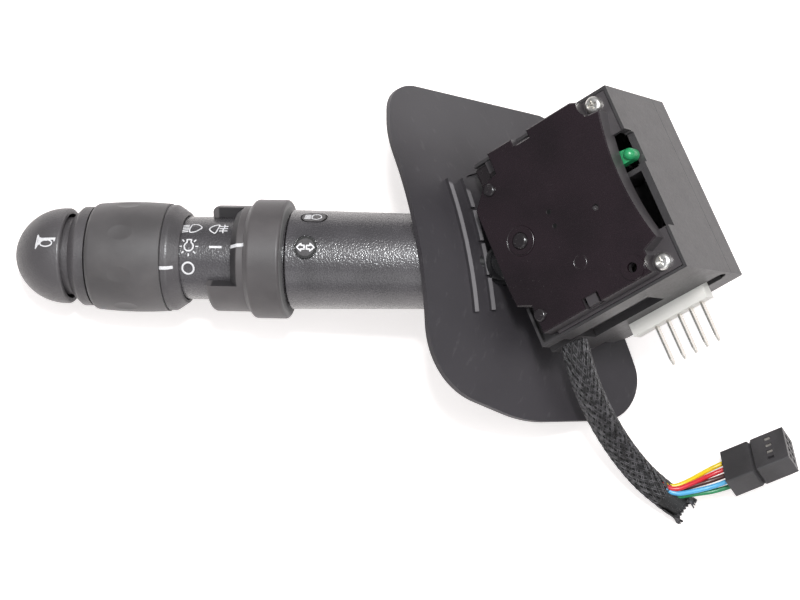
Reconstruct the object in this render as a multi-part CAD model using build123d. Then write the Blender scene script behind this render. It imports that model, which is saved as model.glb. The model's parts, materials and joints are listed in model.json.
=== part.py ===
from build123d import *
import os
from math import asin, atan2, cos, pi, radians, sin, tan

# Combination stalk switch: turn, dip, light, fog and horn lever of a steering column.
# Millimetres and degrees.
#
# Case frame: origin on the turn axis at the cover's face, +X toward the steering column,
# +Y up the cover, +Z out of the cover. Lever frame: origin at the flash pin, +Z along the
# lever to its tip, +X along the flash pin. Stations on the lever are distances from its tip.

# ---- switch case ----
CASE_WIDTH = 50.5
CASE_HEIGHT = 58.6
AXIS_FROM_LEFT = 9.5       # turn axis to the case's left edge
COVER_STEP = 7.0           # cover's face above the case's rim
HOUSING_DEPTH = 29.5       # rim to the back seam
BACK_DEPTH = 9.0           # back cover
WALL = 2.2
RIM_THICK = 2.5
LOWER_SIDE = 2.4           # extra thickness of the lower wall
SLOT_LENGTH = 10.6         # rounded slot in the lower side, at the back seam
SLOT_HIGH = 4.6
SLOT_INSET = 3.4           # its round end to the case's right edge
MOUTH_HALF = 17.0          # half the opening that the lever swings in
MOUTH_SILL = 3.3           # its lower edge above the floor
LEFT_RECESS = 5.5          # the housing's left wall stands back under the rim
COVER_WALL = 2.0
COVER_SHEET = 1.6          # the cover's foot and its screw ears
LIP = 0.9                  # rim's edge round the cover's foot
FLOOR_UP = 4.6             # housing floor above the back seam
FLOOR_THICK = 2.2
COLUMN_RADIUS = 88.0       # hollow in the cover for the steering column
COLUMN_DEEP = 2.6

# ---- lever pose in the case ----
LEVER_OFFSET = 5.6         # lever axis beside the turn axis
HINGE_DEPTH = 15.0         # flash pin under the cover's face
LEVER_SWEEP = 152.8        # lever's heading in the case frame, from +X
LEVER_RAISE = 22.9         # lever's rise toward the driver
LEVER_LENGTH = 161.0       # flash pin to the tip of the horn cap
TURN_RANGE = 7.0
FLASH_RANGE = 5.0
LIGHT_STEP = 30.0          # one detent of the rotary switches
HORN_TRAVEL = 1.2
PAWL_RANGE = 10.0

# ---- lever stations from the tip, and radii ----
CAP_LENGTH = 17.3
CAP_SHOULDER = 15.6          # station of the cap's largest radius
CAP_NOSE = 12.4             # radius of its round nose
CAP_RADIUS = 14.45
CAP_WALL = 1.6
CAP_GAP = 2.0              # horn cap to collar
COLLAR_END = 24.7
COLLAR_RADIUS = 15.0
COLLAR_BEVEL = 2.4
NECK_RADIUS = 11.7
NECK_WALL = 2.0
RING_GAP = 0.4             # between turning rings and fixed ones
GRIP_LENGTH = 23.0
GRIP_RADIUS = 16.6
GRIP_EDGE_RADIUS = 15.9
DIMPLES = 8
DIMPLE_RADIUS = 30.0
DIMPLE_DEEP = 0.3
INDEX_LENGTH = 5.6
INDEX_END_RADIUS = 13.6
INDEX_CONE = 3.4
GRIP_SEAM = 0.5            # groove between the grip and the index ring
CARRIER_RADIUS = 13.2      # hard ring inside the soft grip
SLEEVE_RADIUS = 12.45
SLEEVE_BORE = 10.2
SLEEVE_WEB = 2.4
FOG_START = 61.8
FOG_RADIUS = 15.9
FOG_STEP_AT = 75.0
FOG_BAND_RADIUS = 17.8
FOG_END = 84.6
WINDOW_LENGTH = 7.6
WINDOW_SLOPE = 2.2         # slope from the window's end up to the ring's skin
WINDOW_SILL = 1.7          # the slope's foot under the ring's skin
WINDOW_CENTRE = 18.0       # from the lever's +Y toward -X
WINDOW_HALF = 53.0
SHAFT_START = 85.4
SHAFT_RADIUS = 14.85
SHAFT_TAPER = 0.0185       # radius lost per millimetre toward the case
SHAFT_WALL = 2.2
SHAFT_WEB_AT = 118.0
TUBE_RADIUS = 6.0
TUBE_BORE = 4.0
ROOT_BALL_RADIUS = 6.8
ROOT_BALL_AT = 11.0        # from the flash pin
ROOT_RADIUS = 5.0
ROOT_FLAT = 4.2
ROOT_NECK_RADIUS = 3.0     # waist that passes through the shroud plate
TAIL_LENGTH = 8.0
TUBE_START = 26.0          # lever tube's foot, from the flash pin
SPIGOT_LENGTH = 16.0
TUBE_END = 12.0
MARK_ROW = 10.8            # marks' row on the lever, from +Y toward -X
BADGE_AT = 92.0
BADGE_RADIUS = 3.3
BADGE_THICK = 1.0
BADGE_GAP = 0.35
BEAM_BADGE_AT = 93.2
BEAM_BADGE_TURN = 44.5     # round the lever from the marks' row
BEAM_BADGE_LONG = 7.4
BEAM_BADGE_WIDE = 4.6

# ---- shroud plate ----
PLATE_CROSSING = 18.6      # plate's middle on the lever axis, from the flash pin
PLATE_RISE = 2.0           # its face above that point, along its normal
PLATE_THICK = 1.8
PLATE_NORMAL = (0.891, -0.234, 0.388)
PLATE_SLOPE = (0.261, -0.436, -0.862)
PLATE_BEND_RADIUS = 90.0
PLATE_BEND_HALF = 21.0
RIB_WIDTH = 1.3
RIB_HEIGHT = 1.3
RIB_LENGTH = 40.6
RIB_SPACING = 6.0
RIB_HEADING = 112.5
RIB_MIDDLE = (-8.3, 2.6)
RIB_GAP = 1.0

# ---- mechanism ----
PIN_CLEARANCE = 0.05
FLASH_PIN_RADIUS = 1.5
PIVOT_RADIUS = 2.5
CHEEK_THICK = 3.0
CHEEK_GAP = 0.3
CAGE_HALF = 9.0
CAGE_SHEET = 2.4
PLUNGER_RADIUS = 2.0
PLUNGER_SHORT = 1.0           # from the plunger's nose to the track between its hollows
CAM_RADIUS = 26.4
PLUNGER_REACH = CAM_RADIUS - PLUNGER_SHORT
CAM_THICK = 3.2
CAM_FOOT = 1.4
CAM_HALF_HEIGHT = 4.5
CAM_CLEARANCE = 0.2
CAM_HALF = 15.0
CAM_HEADING = -39.7
PAWL_FROM_RIGHT = 12.5     # the finger's pin to the case's right edge
PAWL_UP = 9.0
PAWL_LEVEL = -9.0
PAWL_THICK = 3.0
PAWL_REACH = 9.9
PAWL_DROP = 0.7
PAWL_TIP_RADIUS = 1.8
PAWL_PIN_RADIUS = 1.25

# ---- fasteners and terminals ----
UPPER_SCREW = (5.4, 3.7)    # from the case's right edge and its upper edge
LOWER_SCREW = (5.8, 4.5)    # from the case's right edge and its lower edge
SCREW_HEAD_RADIUS = 2.6
SCREW_HEAD_HEIGHT = 1.7
SCREW_RADIUS = 1.45
SCREW_LENGTH = 12.0
UPPER_PEG = (6.8, 11.1)     # from the case's left edge and its upper edge
LOWER_PEG = (5.9, 7.1)      # from the case's left edge and its lower edge
PEG_RADIUS = 1.3
PEG_HEAD_RADIUS = 1.9
BLADES = 5
BLADE_PITCH = 3.96
BLADE_WIDE = 2.3
BLADE_THICK = 0.64
BLADE_LENGTH = 12.6
HEADER_LENGTH = 26.0
HEADER_FROM_RIGHT = 21.0    # header's middle to the case's right edge
HEADER_LEVEL = -34.2
HEADER_DEEP = 4.0
HEADER_THICK = 4.6
CABLE_RADIUS = 4.25
CABLE_WALL = 0.8
CABLE_SPOT = (-6.5, -20.0)  # cable's exit on the case's lower side: X, Z
GLAND_WALL = 1.1
GLAND_DEEP = 6.0
WIRE_RADIUS = 0.75
WIRE_CIRCLE = 1.9
WIRE_INSIDE = 6.0           # wires' first run in the sleeve
WIRE_MOUTH = 2.5            # wires' bend beyond the sleeve's end
WIRE_LEAD = 5.5             # straight run into the plug

# ---- plug ----
PLUG_LENGTH = 20.4
PLUG_WAYS = 4
PLUG_PITCH = 2.54
PLUG_SIDE_WALL = 1.2
PLUG_FACE_WALL = 1.4
PLUG_CORNER = (104.96, -57.07, 5.90)
PLUG_ALONG = (0.8650, 0.3284, 0.3794)
PLUG_UP = (-0.4998, 0.4956, 0.7104)

# ---- how the part lies on a table ----
LYING = (7.8, -31.46, 25.49)

# ---- cable route, in the row frame ----
CABLE_ROUTE = (
    (58.80, -27.08, 32.57),
    (61.15, -35.41, 29.30),
    (64.95, -43.78, 24.00),
    (70.34, -52.37, 17.00),
    (77.30, -60.95, 10.40),
    (84.63, -67.93, 6.20),
    (93.03, -73.76, 4.50),
)
RUN_SHARE = 0.45           # share of the shorter run that an arc takes up

CASE_LEFT = -AXIS_FROM_LEFT
CASE_RIGHT = CASE_WIDTH - AXIS_FROM_LEFT
CASE_TOP = CASE_HEIGHT / 2
CASE_FOOT = -CASE_HEIGHT / 2
RIM_LEVEL = -COVER_STEP
SEAM_LEVEL = RIM_LEVEL - HOUSING_DEPTH
BACK_LEVEL = SEAM_LEVEL - BACK_DEPTH
HOUSING_LEFT = CASE_LEFT + LEFT_RECESS
FLOOR_LEVEL = SEAM_LEVEL + FLOOR_UP
EAR_LEVEL = RIM_LEVEL + COVER_SHEET
SCREW_SPOTS = ((CASE_RIGHT - UPPER_SCREW[0], CASE_TOP - UPPER_SCREW[1]),
               (CASE_RIGHT - LOWER_SCREW[0], CASE_FOOT + LOWER_SCREW[1]))
PEG_SPOTS = ((CASE_LEFT + UPPER_PEG[0], CASE_TOP - UPPER_PEG[1]),
             (CASE_LEFT + LOWER_PEG[0], CASE_FOOT + LOWER_PEG[1]))
PAWL_PIVOT = (CASE_RIGHT - PAWL_FROM_RIGHT, PAWL_UP)
PAWL_TIP = (CASE_RIGHT - PAWL_FROM_RIGHT + PAWL_REACH, PAWL_UP - PAWL_DROP)
HEADER_MIDDLE = CASE_RIGHT - HEADER_FROM_RIGHT
INDEX_START = COLLAR_END + RING_GAP + GRIP_LENGTH
INDEX_END = INDEX_START + INDEX_LENGTH


# ---------------------------------------------------------------- helpers
def block(x0, x1, y0, y1, z0, z1):
    """A box between two corners."""
    middle = ((x0 + x1) / 2, (y0 + y1) / 2, (z0 + z1) / 2)
    return Pos(*middle) * Box(x1 - x0, y1 - y0, z1 - z0)


def rod(radius, z0, z1):
    """A cylinder along +Z between two levels."""
    return Pos(0, 0, (z0 + z1) / 2) * Cylinder(radius, z1 - z0)


def tube(outer, bore, z0, z1):
    """A tube along +Z between two levels."""
    return rod(outer, z0, z1) - rod(bore, z0 - 1, z1 + 1)


def turned(profile, rounds=()):
    """A body turned about +Z from (radius, level) corners; rounds are (corner, radius)."""
    face = make_face(Polyline(*profile, close=True))
    for corner, radius in rounds:
        face = fillet(face.vertices().sort_by_distance((*profile[corner], 0))[0], radius)
    return revolve(Plane.XZ * face, Axis.Z)


def slab(points, z0, z1):
    """A prism on an XY outline between two levels."""
    return Pos(0, 0, z0) * extrude(Polygon(*points, align=None), z1 - z0)


def on_lever(station):
    """Lever level of a station measured from the tip."""
    return LEVER_LENGTH - station


def lever_plane():
    """The lever frame, seen from the case frame."""
    sweep = radians(LEVER_SWEEP)
    raise_ = radians(LEVER_RAISE)
    pin_way = Vector(-sin(sweep), cos(sweep), 0)
    heading = Vector(cos(raise_) * cos(sweep), cos(raise_) * sin(sweep), sin(raise_))
    origin = pin_way * LEVER_OFFSET - Vector(0, 0, HINGE_DEPTH)
    return Plane(origin=origin, x_dir=pin_way, z_dir=heading)


def rocker_plane():
    """The rocker's frame: origin at the flash pin, -Y toward the lever, +Z out of the cover."""
    return Plane(origin=lever_plane().origin, x_dir=lever_plane().x_dir, z_dir=(0, 0, 1))


def plate_plane():
    """The shroud plate's frame: +X down its slope, +Z out of its case side."""
    lever = lever_plane()
    crossing = lever.origin + lever.z_dir * PLATE_CROSSING
    normal = Vector(*PLATE_NORMAL).normalized()
    return Plane(origin=crossing + normal * PLATE_RISE, x_dir=PLATE_SLOPE, z_dir=normal)


# ---------------------------------------------------------------- case pieces
def cover_outline():
    """The cover's raised face, with its notches and the hollow for the column."""
    left = CASE_LEFT
    high = CASE_TOP - LIP
    low = CASE_FOOT + LIP + 1.2
    ear = CASE_RIGHT - 7.6
    nose = CASE_RIGHT - 2.8
    upper = Polyline((nose, 22.0), (ear, 22.4), (ear, high - 1.2), (ear - 2.6, high),
                     (15.2, high), (15.2, high - 2.4), (9.6, high - 2.4), (9.6, high),
                     (1.0, high), (1.0, 21.6), (left + 5.6, 20.6), (left, 14.8))
    lower = Polyline((left, 14.8), (left - 0.3, -10.6), (left, -16.5), (left + 4.4, -18.6),
                     (left + 4.4, low), (ear, low), (ear, -20.6), (nose, -18.8))
    hollow = ThreePointArc((nose, -18.8), (nose - COLUMN_DEEP, 1.6), (nose, 22.0))
    return make_face([upper, lower, hollow])


def front_cover():
    """Glossy cover: a raised tray on a foot with two screw ears."""
    outline = cover_outline()
    inside = offset(outline, -COVER_WALL)
    foot_gap = LIP + 0.2
    foot = block(HOUSING_LEFT + 1.0, CASE_RIGHT - foot_gap, CASE_FOOT + foot_gap,
                 CASE_TOP - foot_gap, RIM_LEVEL, EAR_LEVEL)
    foot -= column_pockets()
    cover = Pos(0, 0, RIM_LEVEL) * extrude(outline, COVER_STEP) + foot
    cover -= Pos(0, 0, RIM_LEVEL - 1) * extrude(inside, COVER_STEP + 1 - COVER_WALL)
    cover -= lever_mouth()
    cover = chamfer(cover.faces().sort_by(Axis.Z)[-1].edges(), 0.35)
    cover += rod(4.0, -COVER_WALL - 1.2, 0.45)
    cover -= rod(PIVOT_RADIUS + PIN_CLEARANCE, -10, 2)
    for spot in SCREW_SPOTS:
        cover -= Pos(*spot) * rod(SCREW_RADIUS + 0.15, RIM_LEVEL - 1, 1)
        cover -= Pos(*spot) * rod(SCREW_HEAD_RADIUS + 0.7, EAR_LEVEL, 1)
    for spot in PEG_SPOTS:
        cover -= Pos(*spot) * rod(PEG_RADIUS + 0.1, RIM_LEVEL - 1, 1)
    cover -= block(10.0, 15.4, CASE_FOOT + 1.6, CASE_FOOT + 5.2, -3.4, 1)
    cover += block(11.0, 14.4, CASE_FOOT + 2.4, CASE_FOOT + 5.2, -3.4, -0.8)
    cover += Pos(28.2, -23.4) * rod(3.6, -COVER_WALL - 0.5, 0.5)
    cover -= Pos(28.2, -23.4) * rod(1.5, -5, 1)
    cover -= Pos(25.3, -2.6) * rod(1.0, -1.2, 1)
    return cover


def column_pockets():
    """The two pockets that open beside the column hollow."""
    top = RIM_LEVEL - RIM_THICK - 0.1
    pockets = block(CASE_RIGHT - 8.4, CASE_RIGHT + 1, -16.0, 15.0, top, 1)
    return pockets + block(CASE_RIGHT - 8.4, CASE_RIGHT + 1, 4.9, 14.6, top - 1.4, 1)


def lever_mouth():
    """The opening in the case's left side where the lever swings."""
    return block(CASE_LEFT - 3, HOUSING_LEFT + WALL + 4, -MOUTH_HALF, MOUTH_HALF,
                 FLOOR_LEVEL + MOUTH_SILL, -COVER_WALL)


def switch_housing():
    """The case's main moulding: rim, walls, floor, screw bosses and the lower side's forms."""
    high = CASE_TOP
    low = CASE_FOOT
    body = block(HOUSING_LEFT, CASE_RIGHT, low, high, SEAM_LEVEL, RIM_LEVEL)
    body -= case_hollow(0.0)
    body -= block(HOUSING_LEFT + WALL, CASE_RIGHT - WALL, low + WALL + LOWER_SIDE, high - WALL,
                  SEAM_LEVEL - 1, FLOOR_LEVEL - FLOOR_THICK)
    rim = block(CASE_LEFT, CASE_RIGHT, low, high, RIM_LEVEL - RIM_THICK, EAR_LEVEL)
    rim -= block(CASE_LEFT + LIP, CASE_RIGHT - LIP, low + LIP, high - LIP, RIM_LEVEL, 1)
    rim -= block(HOUSING_LEFT + WALL, CASE_RIGHT - WALL, low + WALL + LOWER_SIDE, high - WALL, -20, 1)
    rim -= block(CASE_LEFT - 1, HOUSING_LEFT, -MOUTH_HALF, 20.2, RIM_LEVEL - RIM_THICK - 1, EAR_LEVEL + 1)
    rim -= slab(((CASE_LEFT - 1, 18.0), (-6.2, 20.0), (-8.0, 26.6), (-6.4, high + 0.1),
                 (CASE_LEFT - 1, high + 1)), RIM_LEVEL - RIM_THICK - 1, EAR_LEVEL + 1)
    housing = body + rim
    for x, y in SCREW_SPOTS:
        housing += Pos(x, y) * rod(3.4, FLOOR_LEVEL - 1, RIM_LEVEL)
    housing += lower_left_block()
    housing -= column_pockets()
    housing -= lever_mouth()
    housing += block(CASE_RIGHT - 6.5, CASE_RIGHT, 2.9, 4.4, FLOOR_LEVEL, RIM_LEVEL - RIM_THICK)
    housing += Pos(*PAWL_PIVOT) * rod(3.0, FLOOR_LEVEL - 1, PAWL_LEVEL - PAWL_THICK / 2 - 0.3)
    housing += rod(PIVOT_RADIUS + 2.0, FLOOR_LEVEL - FLOOR_THICK, FLOOR_LEVEL + 1.6)
    housing -= rod(PIVOT_RADIUS + PIN_CLEARANCE, SEAM_LEVEL - 1, FLOOR_LEVEL + 6)
    for x, y in SCREW_SPOTS:
        housing -= Pos(x, y) * rod(SCREW_RADIUS, RIM_LEVEL - SCREW_LENGTH, RIM_LEVEL + 1)
    housing -= lower_side_cuts()
    housing -= gland_seat(0.0)
    return housing


def case_hollow(gap):
    """The space inside the housing's walls, drawn in by a gap."""
    return block(HOUSING_LEFT + WALL + gap, CASE_RIGHT - WALL - gap, CASE_FOOT + WALL + LOWER_SIDE + gap,
                 CASE_TOP - WALL - gap, FLOOR_LEVEL, RIM_LEVEL + 1)


def lower_left_block():
    """The block below the lever's opening, bevelled clear of the shroud plate."""
    corner = block(CASE_LEFT, HOUSING_LEFT + 4, CASE_FOOT, CASE_FOOT + 4.6, SEAM_LEVEL, -25.2)
    edge = corner.edges().filter_by(Axis.Y).sort_by(Axis.Z)[:2].sort_by(Axis.X)[0]
    return chamfer(edge, 2.4)


def lower_side_cuts():
    """The channel, facet, slot and header seat in the housing's lower side."""
    low = CASE_FOOT
    channel = slab(((-12, low - 1), (24.0, low - 1), (21.0, low + 2.4), (-12, low + 2.4)), -25.0, -14.0)
    facet = Polygon((1.3, -27.0), (10.0, -28.0), (-2.5, SEAM_LEVEL - 0.5), align=None)
    facet_cut = Plane(origin=(0, low + 1.5, 0), x_dir=(1, 0, 0), z_dir=(0, -1, 0)) * facet
    facet_cut = extrude(facet_cut, 3)
    slot_end = CASE_RIGHT - SLOT_INSET
    slot_round = SLOT_HIGH / 2
    slot = block(slot_end - SLOT_LENGTH, slot_end, low - 1, low + 1.8, SEAM_LEVEL, SEAM_LEVEL + SLOT_HIGH)
    slot += Pos(slot_end, low + 0.4, SEAM_LEVEL + slot_round) * Rot(90, 0, 0) * Cylinder(slot_round, 2.8)
    seat = header_block(0.15)
    return channel + facet_cut + slot + seat


def header_block(gap):
    """The terminal header's envelope, grown by a gap for its seat."""
    half = HEADER_LENGTH / 2 + gap
    inner = CASE_FOOT + WALL + 3.6
    return block(HEADER_MIDDLE - half, HEADER_MIDDLE + half, CASE_FOOT - HEADER_DEEP, inner,
                 HEADER_LEVEL - HEADER_THICK / 2 - gap, HEADER_LEVEL + HEADER_THICK / 2 + gap)


def gland_seat(gap):
    """The cable gland's envelope at the lower side's left end."""
    x, z = CABLE_SPOT
    half = CABLE_RADIUS + GLAND_WALL + gap
    foot = CASE_FOOT - 0.2
    return block(x - half, x + half, foot, foot + GLAND_DEEP, z - half, z + half)


def cable_gland():
    """Clamp block that holds the cable's braided sleeve."""
    x, z = CABLE_SPOT
    bore = Pos(x, CASE_FOOT + 2, z) * Rot(90, 0, 0) * Cylinder(CABLE_RADIUS - CABLE_WALL, 30)
    return gland_seat(-0.1) - bore


def back_cover():
    """Shallow tray that closes the case's back, with its left edge bevelled."""
    low = CASE_FOOT
    tray = block(HOUSING_LEFT, CASE_RIGHT, low, CASE_TOP, BACK_LEVEL, SEAM_LEVEL)
    tray = chamfer(tray.edges().filter_by(Axis.Y).sort_by(Axis.Z)[:2].sort_by(Axis.X)[0], 3.5)
    tray = chamfer(tray.edges().filter_by(Axis.Y).sort_by(Axis.Z)[0:3].sort_by(Axis.X)[-1], 0.8)
    tray -= block(HOUSING_LEFT + WALL, CASE_RIGHT - WALL, low + WALL, CASE_TOP - WALL,
                  BACK_LEVEL + WALL + 1.5, SEAM_LEVEL + 1)
    tray -= header_block(0.15)
    slot_end = CASE_RIGHT - SLOT_INSET
    tray -= block(slot_end - SLOT_LENGTH + 1, slot_end, low - 1, low + 1.2, SEAM_LEVEL - 0.8, SEAM_LEVEL + 1)
    return tray


def contact_board():
    """Board with the stamped contact tracks, between the housing's floor and the back cover."""
    gap = 0.4
    top = FLOOR_LEVEL - FLOOR_THICK - 0.3
    board = block(HOUSING_LEFT + WALL + gap, CASE_RIGHT - WALL - gap, CASE_FOOT + WALL + 6.4,
                  CASE_TOP - WALL - gap, top - 1.6, top)
    return board - rod(PIVOT_RADIUS + 0.6, top - 3, top + 1)


def terminal_header():
    """White header that carries the blade terminals."""
    header = header_block(0.0)
    for x in blade_places():
        header -= block(x - BLADE_THICK / 2, x + BLADE_THICK / 2, CASE_FOOT - HEADER_DEEP - 1,
                        CASE_FOOT + WALL + 5, HEADER_LEVEL - BLADE_WIDE / 2,
                        HEADER_LEVEL + BLADE_WIDE / 2)
    return header


def blade_places():
    """X of each blade, in a row along the header."""
    first = HEADER_MIDDLE + 2.0 - BLADE_PITCH * (BLADES - 1) / 2
    return [first + BLADE_PITCH * number for number in range(BLADES)]


def blade_terminals():
    """Flat tinned blades, pointed at their free ends."""
    root = CASE_FOOT + WALL + 3.6
    tip = CASE_FOOT - HEADER_DEEP - BLADE_LENGTH
    half = BLADE_WIDE / 2
    outline = Polygon((root, -half), (root, half), (tip + 1.6, half), (tip, half * 0.4),
                      (tip, -half * 0.4), (tip + 1.6, -half), align=None)
    blades = []
    for x in blade_places():
        side = Plane(origin=(x - BLADE_THICK / 2, 0, HEADER_LEVEL), x_dir=(0, 1, 0), z_dir=(1, 0, 0))
        blades.append(extrude(side * outline, BLADE_THICK))
    return Compound(children=[blade.solid() for blade in blades])


def cover_screws():
    """Zinc pan-head screws with a cross recess."""
    screws = []
    for x, y in SCREW_SPOTS:
        top = EAR_LEVEL + SCREW_HEAD_HEIGHT
        screw = turned(((0, EAR_LEVEL - SCREW_LENGTH), (SCREW_RADIUS, EAR_LEVEL - SCREW_LENGTH + 1),
                        (SCREW_RADIUS, EAR_LEVEL), (SCREW_HEAD_RADIUS, EAR_LEVEL),
                        (SCREW_HEAD_RADIUS, top), (0, top)), ((4, 1.1),))
        cross = block(-1.35, 1.35, -0.32, 0.32, top - 1.0, top + 1)
        screw -= cross + Rot(0, 0, 90) * cross
        screws.append(Pos(x, y) * screw)
    return Compound(children=[screw.solid() for screw in screws])


def stake_pegs():
    """Pegs that are melted over the cover to hold it down."""
    pegs = []
    for x, y in PEG_SPOTS:
        peg = turned(((0, RIM_LEVEL), (PEG_RADIUS, RIM_LEVEL), (PEG_RADIUS, 0),
                      (PEG_HEAD_RADIUS, 0), (PEG_HEAD_RADIUS, 1.0), (0, 1.0)), ((4, 0.8),))
        pegs.append(Pos(x, y) * peg)
    return Compound(children=[peg.solid() for peg in pegs])


# ---------------------------------------------------------------- turn mechanism
def rocker_cage():
    """Cage that carries the flash pin's cheeks and the detent plunger, in its own frame."""
    inner = ROOT_FLAT + CHEEK_GAP
    outer = inner + CHEEK_THICK
    back = TAIL_LENGTH + 3.0
    pivot_x = -LEVER_OFFSET
    cage = block(-outer, outer, -3.4, back + 2.5, -CAGE_HALF - CAGE_SHEET, CAGE_HALF + CAGE_SHEET)
    cage -= block(-inner, inner, -4.4, back, -CAGE_HALF, CAGE_HALF)
    cage += Pos(0, back + 2.5, 0) * Rot(-90, 0, 0) * rod(PLUNGER_RADIUS + 1.4, -1, 8)
    cage -= Pos(0, back + 2.5, 0) * Rot(-90, 0, 0) * rod(PLUNGER_RADIUS + PIN_CLEARANCE, -1.5, 9)
    cage -= Rot(0, 90, 0) * rod(FLASH_PIN_RADIUS, -outer - 1, outer + 1)
    for side in (-1, 1):
        hub = Pos(pivot_x, 0, side * (CAGE_HALF + CAGE_SHEET / 2)) * rod(4.2, -CAGE_SHEET / 2, CAGE_SHEET / 2)
        cage += hub
    cage -= Pos(pivot_x, 0, 0) * rod(PIVOT_RADIUS, -CAGE_HALF - CAGE_SHEET - 1, -CAGE_HALF)
    cage -= Pos(pivot_x, 0, 0) * rod(PIVOT_RADIUS, CAGE_HALF, CAGE_HALF + CAGE_SHEET + 1)
    return rocker_plane() * cage


def pivot_pins():
    """The turn axis's two stub pins; the upper one's domed end shows in the cover."""
    cage_top = -HINGE_DEPTH + CAGE_HALF
    cage_foot = -HINGE_DEPTH - CAGE_HALF
    upper = turned(((0, cage_top), (PIVOT_RADIUS, cage_top), (PIVOT_RADIUS, 1.3), (0, 1.3)), ((2, 1.2),))
    lower = rod(PIVOT_RADIUS, FLOOR_LEVEL - FLOOR_THICK + 0.2, cage_foot)
    return Compound(children=[upper.solid(), lower.solid()])


def flash_pin():
    """Steel pin that the lever tilts on when it is pulled."""
    half = ROOT_FLAT + CHEEK_GAP + CHEEK_THICK
    return rocker_plane() * Rot(0, 90, 0) * rod(FLASH_PIN_RADIUS, -half, half)


def detent_plunger():
    """Round-nosed plunger behind the rocker."""
    start = TAIL_LENGTH + 3.0 + 4.5
    nose = turned(((0, start), (PLUNGER_RADIUS, start), (PLUNGER_RADIUS, PLUNGER_REACH),
                   (0, PLUNGER_REACH)), ((2, PLUNGER_RADIUS * 0.9),))
    return rocker_plane() * Rot(-90, 0, 0) * nose


def detent_spring():
    """Compression spring between the cage and the plunger."""
    start = TAIL_LENGTH + 3.0 + 1.2
    coil = Helix(pitch=1.05, height=3.0, radius=1.35)
    wire = Plane(origin=coil @ 0, z_dir=coil % 0) * Circle(0.22)
    return rocker_plane() * Rot(-90, 0, 0) * Pos(0, 0, start) * sweep(wire, path=coil, is_frenet=True)


def detent_cam():
    """Curved track with three hollows that the plunger clicks into."""
    track = tube(CAM_RADIUS + CAM_THICK, CAM_RADIUS, -HINGE_DEPTH - CAM_HALF_HEIGHT,
                 -HINGE_DEPTH + CAM_HALF_HEIGHT)
    reach = CAM_RADIUS + 10
    spread = reach * tan(radians(CAM_HALF))
    wedge = slab(((0, 0), (reach, -spread), (reach, spread)), -40, 0)
    track &= wedge
    for step in (-1, 0, 1):
        turn = Rot(0, 0, step * TURN_RANGE)
        track -= turn * Pos(CAM_RADIUS + 0.4, 0, -HINGE_DEPTH) * Cylinder(1.6, 12)
    foot = tube(CAM_RADIUS + CAM_THICK, CAM_RADIUS + CAM_THICK - CAM_FOOT, FLOOR_LEVEL,
                -HINGE_DEPTH - CAM_HALF_HEIGHT) & wedge
    return Rot(0, 0, CAM_HEADING) * (track + foot) & case_hollow(CAM_CLEARANCE)


def moving_contact():
    """Slider under the cage that wipes the contact board's tracks."""
    level = -CAGE_HALF - CAGE_SHEET
    slider = block(-5.0, 5.0, 3.4, 12.0, level - 1.8, level)
    for x in (-3.2, 0.0, 3.2):
        slider -= block(x - 0.5, x + 0.5, 1.0, 9.0, level - 2, level - 1.2)
    return rocker_plane() * slider


def cancel_pawl():
    """Green finger that the column's cam pushes to cancel the turn signal."""
    px, py = PAWL_PIVOT
    tx, ty = PAWL_TIP
    z0 = PAWL_LEVEL - PAWL_THICK / 2
    z1 = PAWL_LEVEL + PAWL_THICK / 2
    arm = slab(((px, py - 2.6), (tx, ty - PAWL_TIP_RADIUS), (tx, ty + PAWL_TIP_RADIUS), (px, py + 2.6)),
               z0, z1)
    pawl = arm + Pos(px, py) * rod(2.8, z0, z1) + Pos(tx, ty) * rod(PAWL_TIP_RADIUS, z0, z1)
    pawl += Pos(tx, ty, z1) * Sphere(PAWL_TIP_RADIUS)
    return pawl - Pos(px, py) * rod(PAWL_PIN_RADIUS + PIN_CLEARANCE, z0 - 1, z1 + 3)


def pawl_pin():
    """Pin that the cancel finger turns on."""
    z0 = PAWL_LEVEL - PAWL_THICK / 2 - 0.3
    pin = turned(((0, z0), (PAWL_PIN_RADIUS, z0), (PAWL_PIN_RADIUS, z0 + PAWL_THICK + 0.6),
                  (2.2, z0 + PAWL_THICK + 0.6), (2.2, z0 + PAWL_THICK + 1.4), (0, z0 + PAWL_THICK + 1.4)))
    return Pos(*PAWL_PIVOT) * pin


# ---------------------------------------------------------------- lever pieces
def lever_root():
    """Glossy root: flat tail on the flash pin, ball, neck and the tube's spigot."""
    ball = ROOT_BALL_AT
    root = rod(ROOT_RADIUS, -TAIL_LENGTH, ball)
    root &= block(-ROOT_FLAT, ROOT_FLAT, -ROOT_RADIUS, ROOT_RADIUS, -TAIL_LENGTH, ball)
    root += Pos(0, 0, ball) * Sphere(ROOT_BALL_RADIUS)
    root += rod(ROOT_NECK_RADIUS, ball, TUBE_START)
    root += rod(TUBE_BORE, TUBE_START, TUBE_START + SPIGOT_LENGTH)
    root -= Rot(0, 90, 0) * rod(FLASH_PIN_RADIUS + PIN_CLEARANCE, -10, 10)
    return lever_plane() * root


def lever_tube():
    """The tube that runs up the lever and carries its switches and wires."""
    return lever_plane() * tube(TUBE_RADIUS, TUBE_BORE, TUBE_START, on_lever(TUBE_END))


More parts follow.
